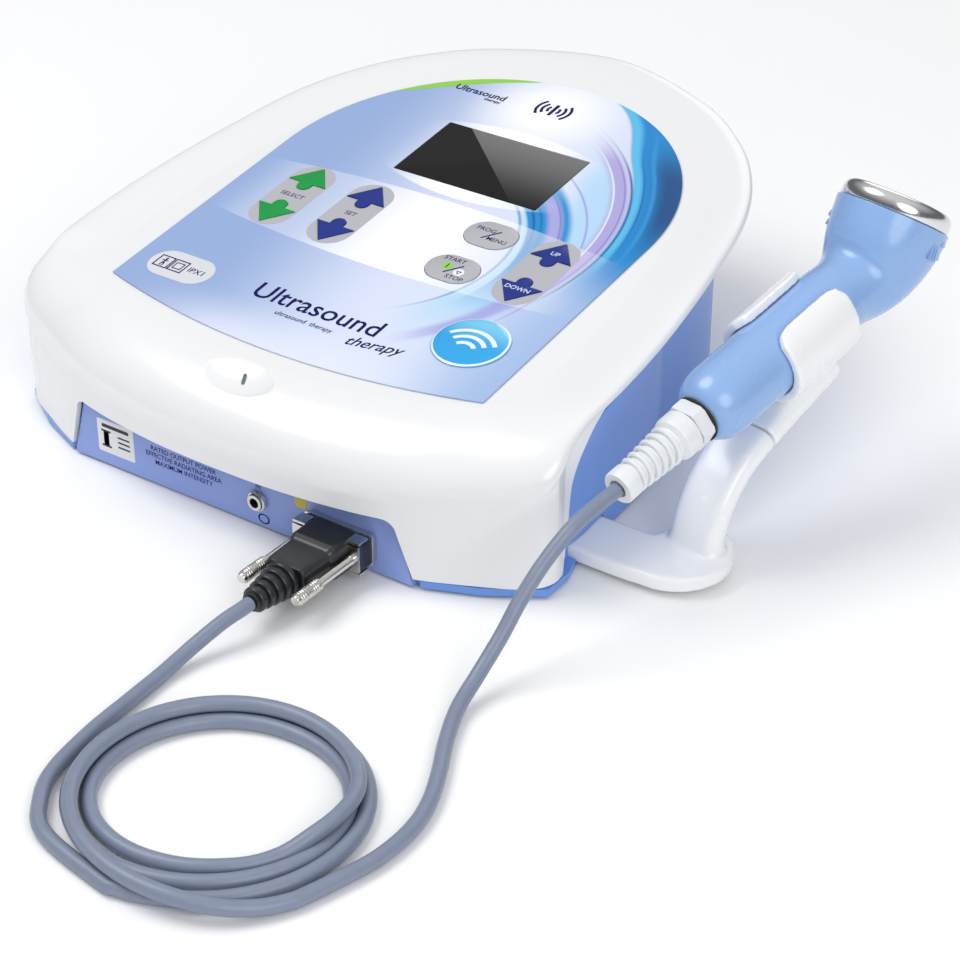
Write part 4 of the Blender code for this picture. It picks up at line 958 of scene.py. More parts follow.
class DEVICE_OT_base(bpy.types.Operator):
    """The blue base with its flange and step line, and the connector panel"""

    bl_idname = "device.base"
    bl_label = "Base and front panel"

    def execute(self, context):
        rows = [((0.0, -0.0330), None), ((0.040, -0.0330), None), ((0.0826, -0.0330), (0.0848, -0.0330)),
                ((0.0850, -0.0322), (0.0868, -0.0350)), ((0.104, -0.0245), (0.1080, -0.0262)),
                ((0.1215, -0.0140), (0.1285, -0.0130)), ((0.1222, 0.003), (0.1285, 0.0005)),
                ((0.1226, 0.020), None), ((0.1208, 0.040), None), ((0.1172, 0.078), None)]
        wall = [inner for inner, flange in rows]
        flange = [outer or inner for inner, outer in rows]
        for half in (wall, flange):
            for degrees in range(-5, 56, 5):
                angle = math.radians(degrees)
                half.append((0.1055 * math.cos(angle), 0.1120 + 0.1055 * math.sin(angle)))
            half += [(0.048, 0.2100), (0.020, 0.2100), (0.0, 0.2100)]
        wall, flange = mirrored(wall), mirrored(flange)

        def top_z(y, drop):
            high = plane_z(y) - drop
            return 0.0300 + (high - 0.0300) * smoothstep(-0.012, 0.003, y)

        def level(outline, height, inset=0.0):
            moved = offset(outline, inset) if inset else outline
            return [(x, y, height if isinstance(height, float) else height(y)) for x, y in moved]

        rings = [level(flange, 0.0012), level(flange, 0.0043), level(wall, 0.0048),
                 level(wall, lambda y: top_z(y, 0.0145)), level(wall, lambda y: top_z(y, 0.0138), 0.0007),
                 level(wall, lambda y: top_z(y, 0.0034), 0.0007),
                 level(wall, lambda y: top_z(y, 0.0034), 0.0025),
                 level(wall, 0.0036, 0.0025)]
        base = new_object("base_tub", loft(rings))
        holes = []
        for x, z, width, height in ((-0.012, 0.034, 0.0286, 0.0326), (0.021, 0.034, 0.0136, 0.0196)):
            spot = MOVE((x, 0.2000, z)) @ TURN(-math.pi / 2, 4, "X")
            holes.append(new_object("rear_hole", prism(rounded(width, height, 0.0005), 0.0, 0.02), spot))
        for (x, z), width, height in ((JACK_PORT, 0.0110, 0.0110), (SERIAL_PORT, 0.0200, 0.0116)):
            spot = MOVE((x, -0.0260, z)) @ FACE_FRONT
            holes.append(new_object("front_hole", prism(rounded(width, height, 0.0005), 0.0, 0.012), spot))
        arm = [(0.097, 0.0094), (0.127, 0.0094), (0.127, 0.0356), (0.097, 0.0356)]
        cut(base, holes + [new_object("arm_hole", prism(arm, 0.0020, 0.0092))])
        base.data.transform(CONSOLE)
        housing = moulded("housing_satin", tuple(colours().housing), 0.36, 500.0, 0.00003, coat=0.10)
        dress(base, housing, "console", ["base_housing"])

        outline = panel_outline(0.0320, -0.0006, 0.0012)
        outline = outline[:2] + outline[3:-1]
        panel = new_object("connector_panel", prism(outline, 0.0, 0.0026), MOVE((0, -0.0334, 0)) @ FACE_FRONT)
        jack_tool = new_object("jack_hole", rod(0.0035, -0.05, 0.05, 48),
                               MOVE((JACK_PORT[0], 0, JACK_PORT[1])) @ FACE_FRONT)
        serial = prism(rounded(0.0194, 0.0110, 0.001), -0.02, 0.02)
        serial_tool = new_object("serial_hole", serial, MOVE((SERIAL_PORT[0], PANEL_FACE_Y, SERIAL_PORT[1]))
                                 @ FACE_FRONT)
        cut(panel, [jack_tool, serial_tool])
        panel.data.transform(CONSOLE)
        material = moulded("panel_film", tuple(colours().front), 0.42, 900.0, 0.00001, coat=0.05)
        dress(panel, material, "console", ["front_panel"])

        ink = dull(moulded("panel_ink", shade(tuple(colours().ink), 1.6), 0.5), 0.1)
        ratings = ("RATED OUTPUT POWER", "EFFECTIVE RADIATING AREA", "MAXIMUM INTENSITY")
        for index, words in enumerate(ratings):
            centre = (-0.0262, 0.0170 - 0.0030 * index)
            lettering(f"panel_text_{index + 1}", words, 0.0030, centre, 0.00004, ink, 0.00004,
                      place=PANEL_FACE)
        white = moulded("sticker_white", (0.80, 0.81, 0.83), 0.4)
        middle = (-0.0612, 0.0140)
        sticker = new_object("rating_sticker", prism(rounded(0.0190, 0.0150, 0.0008, centre=middle), 0.00002,
                                                     0.00012), PANEL_FACE)
        dress(sticker, white, "console")
        bars = [rounded(w, h, h * 0.3, centre=(middle[0] + dx, middle[1] + dy)) for w, h, dx, dy in (
            (0.0140, 0.0016, 0.0, 0.0048), (0.0010, 0.0062, -0.0050, -0.0010),
            (0.0050, 0.0009, -0.0050, 0.0024), (0.0050, 0.0009, -0.0050, -0.0044),
            (0.0062, 0.0008, 0.0042, 0.0014), (0.0062, 0.0008, 0.0042, -0.0008),
            (0.0062, 0.0008, 0.0042, -0.0030))]
        marks = joined("sticker_marks", [prism(bar, 0.00013, 0.00016) for bar in bars])
        marks.data.transform(PANEL_FACE)
        dress(marks, moulded("sticker_black", (0.02, 0.02, 0.025), 0.5), "console")

        def oval(scale):
            turns = (math.tau * i / 32 for i in range(32))
            return [(0.0136 + 0.0028 * scale * math.cos(a), 0.0047 + 0.0028 * 0.8 * scale * math.sin(a))
                    for a in turns]

        outer = new_object("jack_symbol", prism(oval(1.0), 0.00002, 0.00006), PANEL_FACE)
        cut(outer, [new_object("jack_symbol_hole", prism(oval(0.75), -0.001, 0.001), PANEL_FACE)])
        dress(outer, ink, "console", smooth=0)
        lettering("jack_text", "IN", 0.0026, (0.0115, 0.0186), 0.00004, ink, 0.00004, place=PANEL_FACE)
        spot = prism(rounded(0.0056, 0.0056, 0.0012, centre=(0.0322, 0.0193)), 0.00002, 0.00010)
        dress(new_object("lead_symbol", spot, PANEL_FACE), moulded("symbol_yellow", srgb(208, 188, 70), 0.45),
              "console")
        return {"FINISHED"}


def arrow_pair(column, grow):
    """Outlines of the up and the down arrow of one column, grown all round."""
    return [[(x + column, y + KEY_ROW_Y) for x, y in arrow_outline(direction, grow)] for direction in (1, -1)]


def strokes(centre, bars, radius):
    """Outlines of small bars: each one's width, height and place from the centre."""
    return [rounded(w, h, radius, 2, (centre[0] + dx, centre[1] + dy)) for w, h, dx, dy in bars]


def frame_bars(side, thick, rise, reach):
    """The four bars of a square frame, as strokes takes them."""
    return ((side, thick, 0, rise), (side, thick, 0, -rise), (thick, side, reach, 0),
            (thick, side, -reach, 0))


def keypad_film():
    film = new_object("keypad_film", prism(label_outline(), 0.0003, 0.0008))
    outlines = [rounded(*WINDOW_OPENING, 0.0006, centre=WINDOW_CENTRE)]
    for name, column in ARROWS:
        outlines += arrow_pair(column, 0.00025)
    outlines += [capsule(0.0237, 0.0175, centre=centre) for name, centre in OVALS]
    cut(film, [new_object("film_hole", prism(outline, -0.01, 0.01)) for outline in outlines])
    film.data.transform(KEYPAD)
    dress(film, label_print("keypad_print"), "console", ["keypad_overlay"], smooth=30.0)

    glass = [length - 0.0006 for length in WINDOW_OPENING]
    window = new_object("window_glass", prism(rounded(*glass, 0.0006, centre=WINDOW_CENTRE), 0.0003, 0.00095))
    rounded_edges(window, 0.00015)
    window.data.transform(KEYPAD)
    dress(window, window_glass("window_dark"), "console", ["display_window"])


def keypad_print(ink, grey):
    """What is printed over the film: the green corner, the pills behind the keys, symbols and words."""
    arc = [math.radians(101.9 + (144.4 - 101.9) * i / 24) for i in range(25)]
    crescent = [(0.0901 * math.cos(a), LABEL_ARCH_Y + 0.0901 * math.sin(a)) for a in arc]
    lower = ((-0.0733, 0.1669, 0), (-0.0515, 0.1830, 0), (-0.0370, 0.1930, 0), (-0.0186, 0.2026, 0))
    crescent += [(p.x, p.y) for p in spline(lower, 24)[1:-1]]
    green = moulded("print_green", srgb(140, 206, 62), 0.35, coat=0.2)
    printed("green_flash", [crescent], FILM_PRINT, 0.00086, green)
    for name, column in ARROWS:
        outline = capsule(0.0200, 0.0465, centre=(column, KEY_ROW_Y))
        pill = new_object(f"{name}_pill", prism(outline, FILM_PRINT, PILL_TOP))
        holes = arrow_pair(column, 0.00018)
        cut(pill, [new_object("pill_hole", prism(outline, -0.01, 0.01)) for outline in holes])
        pill.data.transform(KEYPAD)
        dress(pill, grey, "console", smooth=0)
    printed("symbol_pill", [capsule(0.0308, 0.0170, centre=(-0.0673, 0.0154))], FILM_PRINT, PILL_TOP,
            moulded("print_light_grey", srgb(214, 216, 222), 0.40, coat=0.15))
    person, square = (-0.0762, 0.0154), (-0.0687, 0.0154)
    figure = ((0.0010, 0.0010, 0, 0.0022), (0.0008, 0.0030, 0, 0.0002), (0.0032, 0.0005, 0, 0.0008),
              (0.0005, 0.0024, -0.0006, -0.0018), (0.0005, 0.0024, 0.0006, -0.0018))
    box, inner = frame_bars(0.0072, 0.0006, 0.0036, 0.0033), frame_bars(0.0042, 0.0005, 0.0019, 0.0019)
    symbols = strokes(person, box, 0.0001) + strokes(square, box, 0.0001)
    symbols += strokes(square, inner, 0.0001) + strokes(person, figure, 0.0002)
    printed("symbol_frames", symbols, SYMBOL_INK, CORNER_INK, ink)
    for name, words, size, centre, height, bold in (
            ("symbol_text", "IPX1", 0.0044, (-0.0594, 0.0154), 0.00090, 0.00004),
            ("title_text", "Ultrasound", 0.0137, (0.0, 0.0178), FILM_INK, 0.00012),
            ("title_small", "ultrasound  therapy", 0.0035, (0.0, 0.0089), FILM_INK, 0.00004)):
        lettering(name, words, size, centre, height, ink, bold)
    lettering("title_script", "therapy", 0.0078, (0.0335, 0.0090), FILM_INK, ink, 0.00008, shear=0.35,
              turn=math.radians(9))
    lettering("corner_text", "Ultrasound", 0.0058, (-0.0380, 0.1832), CORNER_INK, ink, 0.00008)
    lettering("corner_small", "therapy", 0.0027, (-0.0295, 0.1796), CORNER_INK, ink, 0.00004)
    printed("wave_mark", wave_arcs((-0.0013, 0.1850)), FILM_INK, SYMBOL_INK, ink)
    lettering("select_text", "SELECT", 0.0036, (ARROWS[0][1], KEY_ROW_Y), PILL_INK, ink, 0.00003)
    lettering("set_text", "SET", 0.0036, (ARROWS[1][1], KEY_ROW_Y), PILL_INK, ink, 0.00003)


def wave_arcs(centre):
    """A bar between two sets of three arcs."""
    arcs = []
    for side in (-1, 1):
        for reach in (0.0034, 0.0060, 0.0086):
            points = []
            for radius, sweep in ((reach, 1), (reach - 0.0013, -1)):
                for i in range(13):
                    angle = math.radians(sweep * (-42 + 84 * i / 12))
                    points.append((centre[0] + side * radius * math.cos(angle),
                                   centre[1] + radius * math.sin(angle)))
            arcs.append(points)
    return arcs + [rounded(0.0016, 0.0090, 0.0004, centre=centre)]


def keypad_keys(ink, grey):
    paints = {"select": dull(moulded("key_green", srgb(6, 150, 66), 0.30, coat=0.1), 0.25),
              "set": dull(moulded("key_navy", srgb(22, 44, 132), 0.30, coat=0.1), 0.25)}
    paints["level"] = paints["set"]
    edge = sizes().key_round
    for name, column in ARROWS:
        for word, direction in (("up", 1), ("down", -1)):
            node = f"{name}_{word}_key"
            key = new_object(f"{name}_{word}_arrow", prism(arrow_outline(direction), 0.0002, 0.0014))
            rounded_edges(key, edge)
            key.data.transform(KEYPAD @ MOVE((column, KEY_ROW_Y, 0)))
            dress(key, paints[name], node, [node])
    pale = moulded("print_pale", srgb(214, 222, 245), 0.4)
    column = ARROWS[2][1]
    lettering("up_text", "UP", 0.0034, (column, 0.0922), ARROW_INK, pale, 0.00004, "level_up_key")
    lettering("down_text", "DOWN", 0.0034, (column, 0.0656), ARROW_INK, pale, 0.00004, "level_down_key")
    for name, centre in OVALS:
        node = f"{name}_key"
        key = new_object(f"{name}_button", prism(capsule(0.0232, 0.0170, centre=centre), 0.0002, 0.0013))
        rounded_edges(key, edge)
        key.data.transform(KEYPAD)
        dress(key, grey, node, [node])
    prog, start = "prog_menu_key", "start_stop_key"
    for name, words, centre, body in (
            ("prog_text", "PROG", (0.0267, 0.0944), prog), ("menu_text", "MENU", (0.0347, 0.0893), prog),
            ("start_text", "START", (0.0281, 0.0707), start), ("stop_text", "STOP", (0.0347, 0.0599), start)):
        lettering(name, words, 0.0034, centre, OVAL_INK, ink, 0.00003, body)
    for name, spot, body in (("prog_slash", (0.0306, 0.0920), prog),
                             ("start_slash", (0.0311, 0.0650), start)):
        lean = MOVE((*spot, 0)) @ TURN(math.radians(-38), 4, "Z")
        printed(name, [rounded(0.0007, 0.0090, 0.0003)], OVAL_PRINT, 0.00135, ink, body, KEYPAD @ lean)
    go, stop = (0.0276, 0.0660), (0.0343, 0.0640)
    printed("start_mark", [rounded(0.0038, 0.0038, 0.0004)], OVAL_PRINT, OVAL_MARK,
            moulded("print_lime", srgb(132, 214, 52), 0.35, coat=0.2), start,
            KEYPAD @ MOVE((*go, 0)) @ TURN(math.radians(45), 4, "Z"))
    printed("start_bar", [rounded(0.0005, 0.0030, 0.0002, centre=go)], 0.00137, 0.0014, ink, start)
    disc = new_object("stop_mark", rod(0.0023, OVAL_PRINT, OVAL_MARK, 40), KEYPAD @ MOVE((*stop, 0)))
    dress(disc, moulded("print_white", (0.85, 0.86, 0.90), 0.4), start)

    def triangle(radius):
        return [(stop[0] + radius * math.cos(a), stop[1] + radius * math.sin(a))
                for a in (math.radians(d) for d in (30, 150, 270))]

    sign = new_object("stop_triangle", prism(triangle(0.0015), 0.00137, 0.0014), KEYPAD)
    cut(sign, [new_object("triangle_hole", prism(triangle(0.0015 * 0.55), -0.01, 0.01), KEYPAD)])
    dress(sign, ink, start, smooth=0)


def badge_dome():
    """The round resin badge, with three plain waves."""
    place = KEYPAD @ MOVE((0.0656, 0.0279, 0)) @ Matrix.Scale(0.957, 4)
    profile = [(0, 0.00085), (0.0158, 0.00085), (0.0161, 0.0012), (0.0158, 0.0015), (0.0150, 0.0018),
               (0.0120, 0.0021), (0.0080, 0.0023), (0.0040, 0.0024), (0, 0.00243)]
    dome = new_object("badge_dome", turned(profile, 96), place)
    resin = Finish("badge_resin", 0.12, coat=0.6)
    x, y = keypad_places(resin, place)
    out = (x * x + y * y).root()
    ground = resin.mix(srgb(0, 162, 228), srgb(120, 205, 240), y.rise(-2.0, 13.0))
    ground = resin.mix(ground, srgb(235, 246, 252), out.hump(14.3, 14.5, 15.1, 15.3))
    low = (x * x + (y + 7.0) * (y + 7.0)).root()
    above = (y + 7.0 - x.size() * 0.75).rise(0.0, 0.5)
    for radius in (5.0, 9.0, 13.0):
        wave = low.hump(radius - 1.1, radius - 0.7, radius + 0.7, radius + 1.1) * above
        ground = resin.mix(ground, srgb(236, 247, 253), wave * out.rise(13.4, 12.8))
    resin.colour(ground)
    dress(dome, resin.material, "console", ["badge"])


class DEVICE_OT_keypad(bpy.types.Operator):
    """The printed keypad film, its window, the keys and the badge"""

    bl_idname = "device.keypad"
    bl_label = "Keypad"

    def execute(self, context):
        ink = dull(moulded("print_navy", tuple(colours().ink), 0.5), 0.1)
        grey = moulded("print_grey", srgb(178, 179, 184), 0.40, coat=0.15)
        keypad_film()
        keypad_print(ink, grey)
        keypad_keys(ink, grey)
        badge_dome()
        return {"FINISHED"}


class DEVICE_OT_plug(bpy.types.Operator):
    """The plug on the lead: moulded hood, ribbed boot, brackets and thumbscrews"""

    bl_idname = "device.plug"
    bl_label = "Plug"

    def execute(self, context):
        face = CONSOLE @ MOVE((SERIAL_PORT[0], PANEL_FACE_Y, SERIAL_PORT[1])) @ FACE_FRONT
        black = moulded("plug_black", (0.012, 0.014, 0.016), 0.34, 500.0, 0.00004, coat=0.1, tint=0.1)
        plated = metal("screw_nickel", (0.70, 0.68, 0.64), 0.22)

        def block(stations, radius=0.0018):
            return loft([[(x, y, reach) for x, y in rounded(width, height, min(radius, height * 0.3), 6)]
                         for reach, width, height in stations])

        ears = block(((0.0028, 0.0305, 0.0122), (0.0032, 0.0310, 0.0125), (0.0090, 0.0310, 0.0125),
                      (0.0094, 0.0304, 0.0120)))
        main = block(((0.0040, 0.0206, 0.0140), (0.0090, 0.0210, 0.0146), (0.0172, 0.0208, 0.0146),
                      (0.0192, 0.0198, 0.0134), (0.0200, 0.0190, 0.0124)), 0.0024)
        nose = block(((0.0160, 0.0186, 0.0122), (0.0200, 0.0188, 0.0124), (0.0330, 0.0182, 0.0120),
                      (0.0346, 0.0174, 0.0112)), 0.0026)
        shell = joined("plug_shell", [ears, main, nose])
        voxel_fillet(shell, 0.00028, 4)
        shell.data.transform(face)
        outlines = [rounded(0.0040, 0.0050, 0.0006, centre=(side * SCREW_REACH, 0)) for side in (-1, 1)]
        notches = [new_object("notch", prism(outline, 0.0018, 0.03), face) for outline in outlines]
        mouth = new_object("mouth", prism(rounded(0.0178, 0.0092, 0.002), 0.0, 0.0075), face)
        cut(shell, notches + [mouth])
        dress(shell, black, "console", ["plug_hood"])

        ribs = [(0.0, 0.0349), (0.0058, 0.0349)]
        for k in range(5):
            radius = 0.0074 - 0.0006 * k
            low = 0.0352 + 0.0037 * k
            ribs += [(radius - 0.0002, low), (radius, low + 0.0004), (radius, low + 0.0020),
                     (radius - 0.0003, low + 0.0024), (radius - 0.0013, low + 0.0026),
                     (radius - 0.0013, low + 0.0035)]
        ribs += [(0.0036, 0.0541), (0.0, 0.0541)]
        boot = new_object("plug_boot", turned(ribs, 64), face)
        dress(boot, black, "console", ["plug_strain_relief"])

        tree, windings = knurl_tree(), spiral_tree()
        flange = new_object("plug_flange", prism(rounded(0.0318, 0.0130, 0.0012), 0.0014, 0.0030), face)
        rounded_edges(flange, 0.0002)
        dress(flange, plated, "console")
        for side, word in ((-1, "left"), (1, "right")):
            spot = face @ MOVE((side * SCREW_REACH, 0, 0))
            shaft = [(0, 0.0032), (0.0013, 0.0032), (0.0013, 0.0106), (0.0019, 0.0110), (0.0020, 0.0128),
                     (0.0018, 0.0132), (0.0018, 0.0302), (0.0022, 0.0306), (0.0022, 0.0436), (0.0018, 0.0444),
                     (0.0007, 0.0445), (0, 0.0445)]
            body = f"thumbscrew_{word}"
            screw = new_object(f"screw_{word}", turned(shaft, 48), spot)
            dress(screw, plated, body, [body])
            ridges = grown(f"knurl_{word}", tree, {
                "Count": sizes().knurl_count, "Radius": 0.00212, "Length": 0.0122, "Ridge": 0.00048,
                "Finish": plated}, spot @ MOVE((0, 0, 0.0371)))
            dress(ridges, plated, body, smooth=0)
            thread = grown(f"thread_{word}", windings, {
                "Turns": 10.5, "Start radius": 0.00222, "End radius": 0.00222, "Height": 0.0122,
                "Thickness": 0.00034, "Finish": plated}, spot @ MOVE((0, 0, 0.0310)))
            dress(thread, plated, body)
            bracket = new_object(f"bracket_{word}", prism(rounded(0.0058, 0.0112, 0.0005), 0.0100, 0.0110))
            cut(bracket, [new_object("bracket_hole", rod(0.0017, 0, 0.02, 32))])
            for tip in (-1, 1):
                wing = prism(rounded(0.0058, 0.0009, 0.0002, centre=(0, tip * 0.0066)), 0.0050, 0.0106)
                cut(bracket, [new_object("wing", wing)], "UNION")
            bracket.data.transform(spot)
            dress(bracket, plated, "console", [f"saddle_{word}"])
        return {"FINISHED"}


def grip_way(rise):
    """The direction that leans up by this angle, over the line in which the holder points."""
    return Vector((math.sin(GRIP_AZIMUTH) * math.cos(rise), math.cos(GRIP_AZIMUTH) * math.cos(rise),
                   math.sin(rise)))


class DEVICE_OT_holder(bpy.types.Operator):
    """The holder arm with its curved post and the clip for the applicator"""

    bl_idname = "device.holder"
    bl_label = "Holder"

    def execute(self, context):
        across, ahead, up = GRIP_SIDE, grip_way(0.0), Vector((0, 0, 1))
        foot = Vector((0.1605, 0.0388, 0))

        def bar(line, widths, thicks, count=40):
            path = spline([(s, h, 0) for s, h in line], count)
            rings = []
            for i in range(count):
                before, after = path[max(i - 1, 0)], path[min(i + 1, count - 1)]
                direction = (ahead * (after.x - before.x) + up * (after.y - before.y)).normalized()
                normal = across.cross(direction).normalized()
                t = i / (count - 1)
                at = foot + ahead * path[i].x + up * path[i].y
                width = widths[0] + (widths[1] - widths[0]) * t
                thick = thicks[0] + (thicks[1] - thicks[0]) * t
                rings.append([at + across * x + normal * y
                              for x, y in rounded(width, thick, thick * 0.45, 8)])
            return loft(rings)

        outline = [(0.100, 0.0098), (0.142, 0.0098)]
        for i in range(25):
            angle = math.radians(-80 + 145 * i / 24)
            outline.append((0.1545 + 0.0226 * math.cos(angle), 0.0330 + 0.0226 * math.sin(angle)))
        outline += [(0.1480, 0.0490), (0.1440, 0.0355), (0.100, 0.0355)]
        plate = prism(offset(outline, 0.0002), 0.0024, 0.0088)
        line = [(0.0, 0.0040), (0.0, 0.0100), (0.0016, 0.0177), (0.0055, 0.0265), (0.0115, 0.0342),
                (0.0190, 0.0405), (0.0290, 0.0455)]
        post = bar(line, (0.0225, 0.0220), (0.0100, 0.0096))
        skirt = bar([(0.0, 0.0040), (0.0, 0.0070), (0.0003, 0.0115)], (0.0270, 0.0226), (0.0150, 0.0102), 12)
        arm = joined("holder_post_arm", [plate, post, skirt])
        voxel_fillet(arm, 0.00075, 14)
        arm.data.transform(CONSOLE)
        # painted brightening: the holder takes the cover's gloss white made 9 % lighter, for the light it
        # catches from the right
        tone = shade(tuple(colours().cover), 1.09)
        white = moulded("holder_gloss", tone, 0.26, 500.0, 0.00001, coat=0.3, tint=0.012)
        dress(arm, white, "console", ["holder_arm"], smooth=50.0)

        grip = along(grip_way(GRIP_RISE), GRIP_END)
        start, end = math.radians(90 + 27), math.radians(90 + 360 - 24)
        rings = []
        for k in range(17):
            share = k / 16
            height = 0.0360 + 0.0362 * share
            pull = 0.30 * (1 - math.sqrt(max(0.0, 1 - (2 * share - 1) ** 6)))
            first, last = start + pull, end - pull
            outer = [(0.0184, first + (last - first) * i / 60) for i in range(61)]
            inner = [(0.0147, last + (first - last) * i / 60) for i in range(61)]
            rings.append([grip @ Vector((r * math.cos(a), r * math.sin(a), height))
                          for r, a in outer + inner])
        neck = bar([(0.02936, 0.04566), (0.0400, 0.0500), (0.0560, 0.0560), (0.0680, 0.0605)],
                   (0.0220, 0.0196), (0.0096, 0.0112))
        cradle = joined("holder_clip", [loft(rings), neck])
        voxel_fillet(cradle, 0.0006, 14)
        cut(cradle, [new_object("clip_bore", rod(0.0149, 0.0, 0.12, 96), grip)])
        cradle.data.transform(CONSOLE)
        dress(cradle, white, "console", ["holder_cradle"], smooth=50.0)
        return {"FINISHED"}


class DEVICE_OT_applicator(bpy.types.Operator):
    """The applicator: handle shell, treatment head and cord gland"""

    bl_idname = "device.applicator"
    bl_label = "Applicator"

    def execute(self, context):
        side = GRIP_SIDE
        grip, lean = grip_way(GRIP_RISE), grip_way(math.radians(56.6))
        bend = GRIP_END + grip * 0.0720
        rim = Vector((0.1781, 0.1444, 0.1071))
        a, b = bend + grip * 0.020, rim - lean * 0.030
        table = [(0.0002, 0.0062), (0.0002, 0.0078), (0.0010, 0.0096), (0.0026, 0.0114), (0.0050, 0.0129),
                 (0.0080, 0.0139), (0.0115, 0.0144), (0.0200, 0.0144), (0.0350, 0.0144), (0.0550, 0.0144)]
        rows = [(GRIP_END + grip * distance, grip, radius) for distance, radius in table]
        for i in range(49):
            t = i / 48
            point = bend * (1 - t) ** 3 + a * 3 * t * (1 - t) ** 2 + b * 3 * t * t * (1 - t) + rim * t ** 3
            slope = ((a - bend) * (1 - t) ** 2 + (b - a) * 2 * t * (1 - t) + (rim - b) * t * t).normalized()
            radius = 0.0144 - 0.0006 * math.sin(min(1, t / 0.3) * math.pi / 2)
            radius += (0.0226 - radius) * smoothstep(0.14, 1.05, t)
            rows.append((point, slope, radius))
        last = rows[-1][2]
        rows += [(rim + lean * 0.0003, lean, last - 0.0004), (rim + lean * 0.0003, lean, 0.0160)]
        rings = []
        for point, slope, radius in rows:
            normal = side.cross(slope)
            rings.append([point + (side * math.cos(q) + normal * math.sin(q)) * radius
                          for q in (math.tau * (i + 0.5) / 112 for i in range(112))])
        shell = new_object("handle_shell", loft(rings))
        shell.data.transform(CONSOLE)
        blue = moulded("handle_gloss", tuple(colours().handle), 0.27, 350.0, 0.00002, coat=0.35, tint=0.012)
        dress(shell, blue, "applicator", ["handle_left", "handle_right"], smooth=40.0)

        face = CONSOLE @ along(lean, rim)
        marks = []
        for turn, low, tall, wide in ((176, 0.0052, 0.0070, 0.0010), (181, 0.0052, 0.0070, 0.0010),
                                      (186, 0.0052, 0.0070, 0.0010), (195, 0.0082, 0.0030, 0.0036),
                                      (195, 0.0040, 0.0020, 0.0036), (30, 0.0085, 0.0022, 0.0030),
                                      (30, 0.0120, 0.0022, 0.0030)):
            bm = bmesh.new()
            bmesh.ops.create_cube(bm, size=1.0)
            spot = TURN(math.radians(turn), 4, "Z") @ MOVE((0.0225 - low * 0.10, 0, -low - tall / 2 + 0.0015))
            bm.transform(spot @ TURN(math.radians(-9), 4, "Y") @ Matrix.Diagonal((0.0016, wide, tall, 1.0)))
            marks.append(bm)
        raised = joined("handle_marks", marks)
        rounded_edges(raised, 0.0003)
        raised.data.transform(face)
        dress(raised, blue, "applicator")

        profile = [(0, 0.0038), (0.0150, 0.0038), (0.0150, 0.0006), (0.0216, 0.0006), (0.0218, 0.0009),
                   (0.0218, 0.0034)]
        for i in range(1, 11):
            angle = math.radians(9 * i)
            profile.append((0.0218 - 0.0042 * (1 - math.cos(angle)), 0.0034 + 0.0042 * math.sin(angle)))
        profile += [(0.0120, 0.0079), (0.0060, 0.0080), (0, 0.0080)]
        head = new_object("head_face", turned(profile, 128), face)
        mirror = metal("head_chrome", (0.80, 0.80, 0.81), 0.17, depth=0.000002)
        dress(head, mirror, "applicator", ["treatment_head"], smooth=50.0)

        nylon = moulded("gland_nylon_white", (0.78, 0.80, 0.83), 0.38, 400.0, 0.00002, coat=0.1, tint=0.02)
        place = CONSOLE @ along(grip, GRIP_END)
        hexagon = [(0.0098 * math.cos(q), 0.0098 * math.sin(q)) for q in (math.tau * i / 6 for i in range(6))]
        nut = new_object("gland_hex", prism(hexagon, -0.0074, -0.0014))
        trim = turned([(0, -0.0080), (0.0088, -0.0080), (0.0098, -0.0068), (0.0098, -0.0020),
                       (0.0088, -0.0010), (0, -0.0010)], 64)
        cut(nut, [new_object("gland_trim", trim)], "INTERSECT")
        cut(nut, [new_object("gland_bore", rod(0.0033, -0.03, 0.03, 48))])
        nut.data.transform(place)
        dress(nut, nylon, "applicator", ["gland_nut"])
        wall = [(0.0088, -0.0078), (0.0088, -0.0132), (0.0084, -0.0144), (0.0066, -0.0156), (0.0062, -0.0170),
                (0.0050, -0.0360), (0.0050, -0.0372), (0.0064, -0.0376), (0.0065, -0.0382), (0.0065, -0.0434),
                (0.0061, -0.0440), (0.0036, -0.0440), (0.0036, -0.0078)]
        cap = new_object("gland_sleeve", turned(wall, 72, closed=True), place)
        dress(cap, nylon, "applicator", ["gland_cap"])
        spiral = grown("gland_coil", spiral_tree(), {
            "Turns": sizes().gland_turns, "Start radius": 0.0054, "End radius": 0.0069, "Height": 0.0215,
            "Thickness": 0.00105, "Finish": nylon}, place @ MOVE((0, 0, -0.0375)))
        dress(spiral, nylon, "applicator")
        return {"FINISHED"}


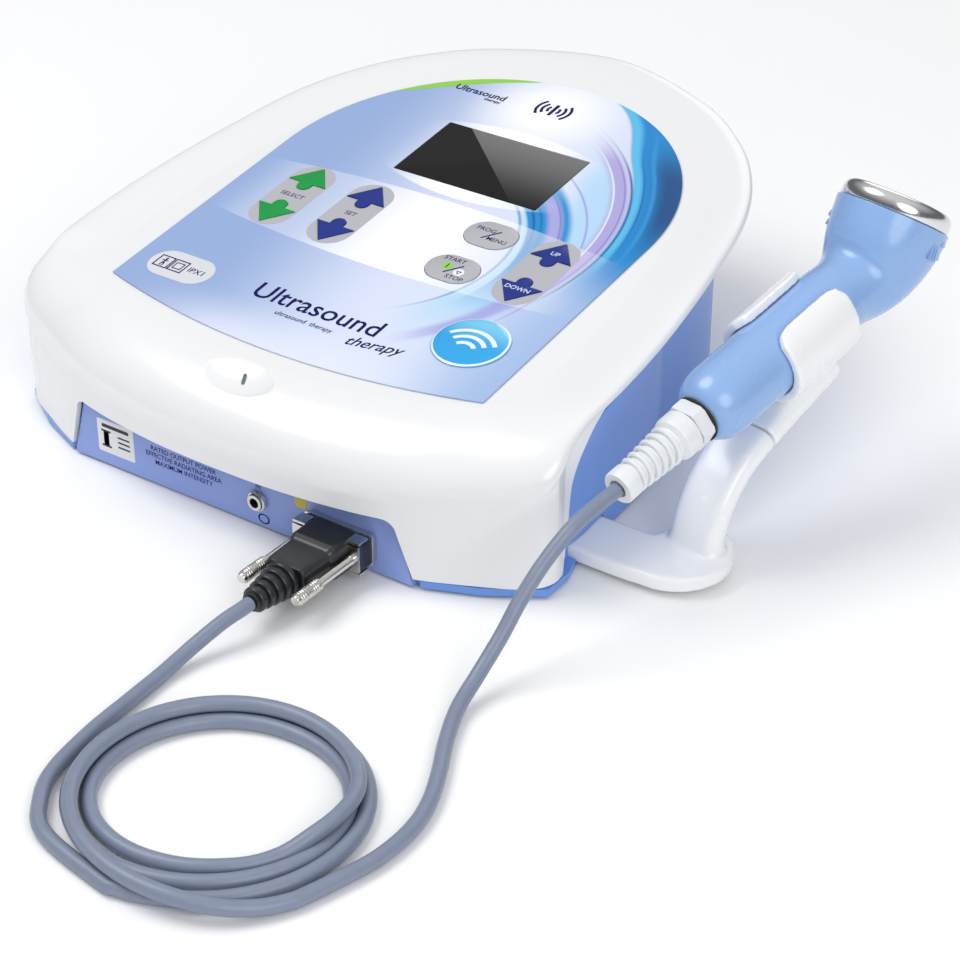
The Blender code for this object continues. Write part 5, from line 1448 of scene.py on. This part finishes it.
class DEVICE_OT_fittings(bpy.types.Operator):
    """Finishes of the pieces that keep their own solid: connectors, rear fittings, screws and inner pieces"""

    bl_idname = "device.fittings"
    bl_label = "Fittings and inner pieces"

    def execute(self, context):
        black = moulded("fitting_black", (0.018, 0.018, 0.020), 0.42, 500.0, 0.00004, tint=0.1)
        rubber = moulded("rubber_matte", (0.022, 0.022, 0.022), 0.75, 700.0, 0.00008, tint=0.15)
        plated = metal("fitting_nickel", (0.68, 0.66, 0.62), 0.24)
        steel = metal("screw_steel", (0.55, 0.55, 0.56), 0.30)
        sheet_iron = metal("core_steel", (0.42, 0.41, 0.40), 0.45, (1.0, 30.0, 1.0))
        alloy = metal("heatsink_alloy", (0.75, 0.75, 0.76), 0.35, (40.0, 1.0, 1.0))
        board = moulded("board_green_mask", (0.015, 0.16, 0.06), 0.35, 250.0, 0.00005, coat=0.3, tint=0.25)
        ribbon = moulded("ribbon_grey", (0.42, 0.43, 0.45), 0.5)
        fired = moulded("ceramic_buff", (0.72, 0.66, 0.56), 0.6, 300.0, 0.00005)
        rocker = moulded("rocker_black", (0.02, 0.02, 0.022), 0.30, coat=0.2)
        numbers = range(1, 5)
        for material, nodes in (
                (black, ["mains_inlet", "fuse_drawer", "switch_frame", "lcd_module", "buzzer"]),
                (rocker, ["power_rocker"]),
                (rubber, ["head_seal", "gland_gasket"] + [f"foot_{index}" for index in numbers]),
                (plated, ["jack_socket", "jack_nut", "serial_socket", "plug_connector"]),
                (steel, ["holder_screw_1", "holder_screw_2"] + [f"case_screw_{index}" for index in numbers]),
                (sheet_iron, ["transformer"]), (alloy, ["output_heatsink"]),
                (board, ["keypad_board", "main_board"]), (ribbon, ["ribbon_cable"]), (fired, ["piezo_disc"])):
            for node in nodes:
                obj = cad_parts[node]
                obj.data.materials.clear()
                obj.data.materials.append(material)
        return {"FINISHED"}


class DEVICE_PT_panel(bpy.types.Panel):
    """Lists the pieces of the device and their sizes and colours"""

    bl_idname = "DEVICE_PT_panel"
    bl_label = "Therapy device"
    bl_space_type = "VIEW_3D"
    bl_region_type = "UI"
    bl_category = "Therapy device"

    def draw(self, context):
        for group in (context.scene.device_sizes, context.scene.device_colours):
            for name in group.__annotations__:
                self.layout.prop(group, name)
        for step in STEPS:
            self.layout.operator(step.bl_idname)


STEPS = (DEVICE_OT_stage, DEVICE_OT_cover, DEVICE_OT_base, DEVICE_OT_keypad, DEVICE_OT_plug, DEVICE_OT_lead,
         DEVICE_OT_holder, DEVICE_OT_applicator, DEVICE_OT_fittings)
CLASSES = (DeviceSizes, DeviceColours, *STEPS, DEVICE_PT_panel)


def register():
    for cls in CLASSES:
        bpy.utils.register_class(cls)
    bpy.types.Scene.device_sizes = bpy.props.PointerProperty(type=DeviceSizes)
    bpy.types.Scene.device_colours = bpy.props.PointerProperty(type=DeviceColours)


def unregister():
    del bpy.types.Scene.device_colours
    del bpy.types.Scene.device_sizes
    for cls in reversed(CLASSES):
        bpy.utils.unregister_class(cls)


def main():
    register()
    bpy.ops.device.stage()
    bpy.ops.device.cover()
    bpy.ops.device.base()
    bpy.ops.device.keypad()
    bpy.ops.device.plug()
    bpy.ops.device.lead()
    bpy.ops.device.holder()
    bpy.ops.device.applicator()
    bpy.ops.device.fittings()
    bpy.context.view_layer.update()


if __name__ == "__main__":
    main()
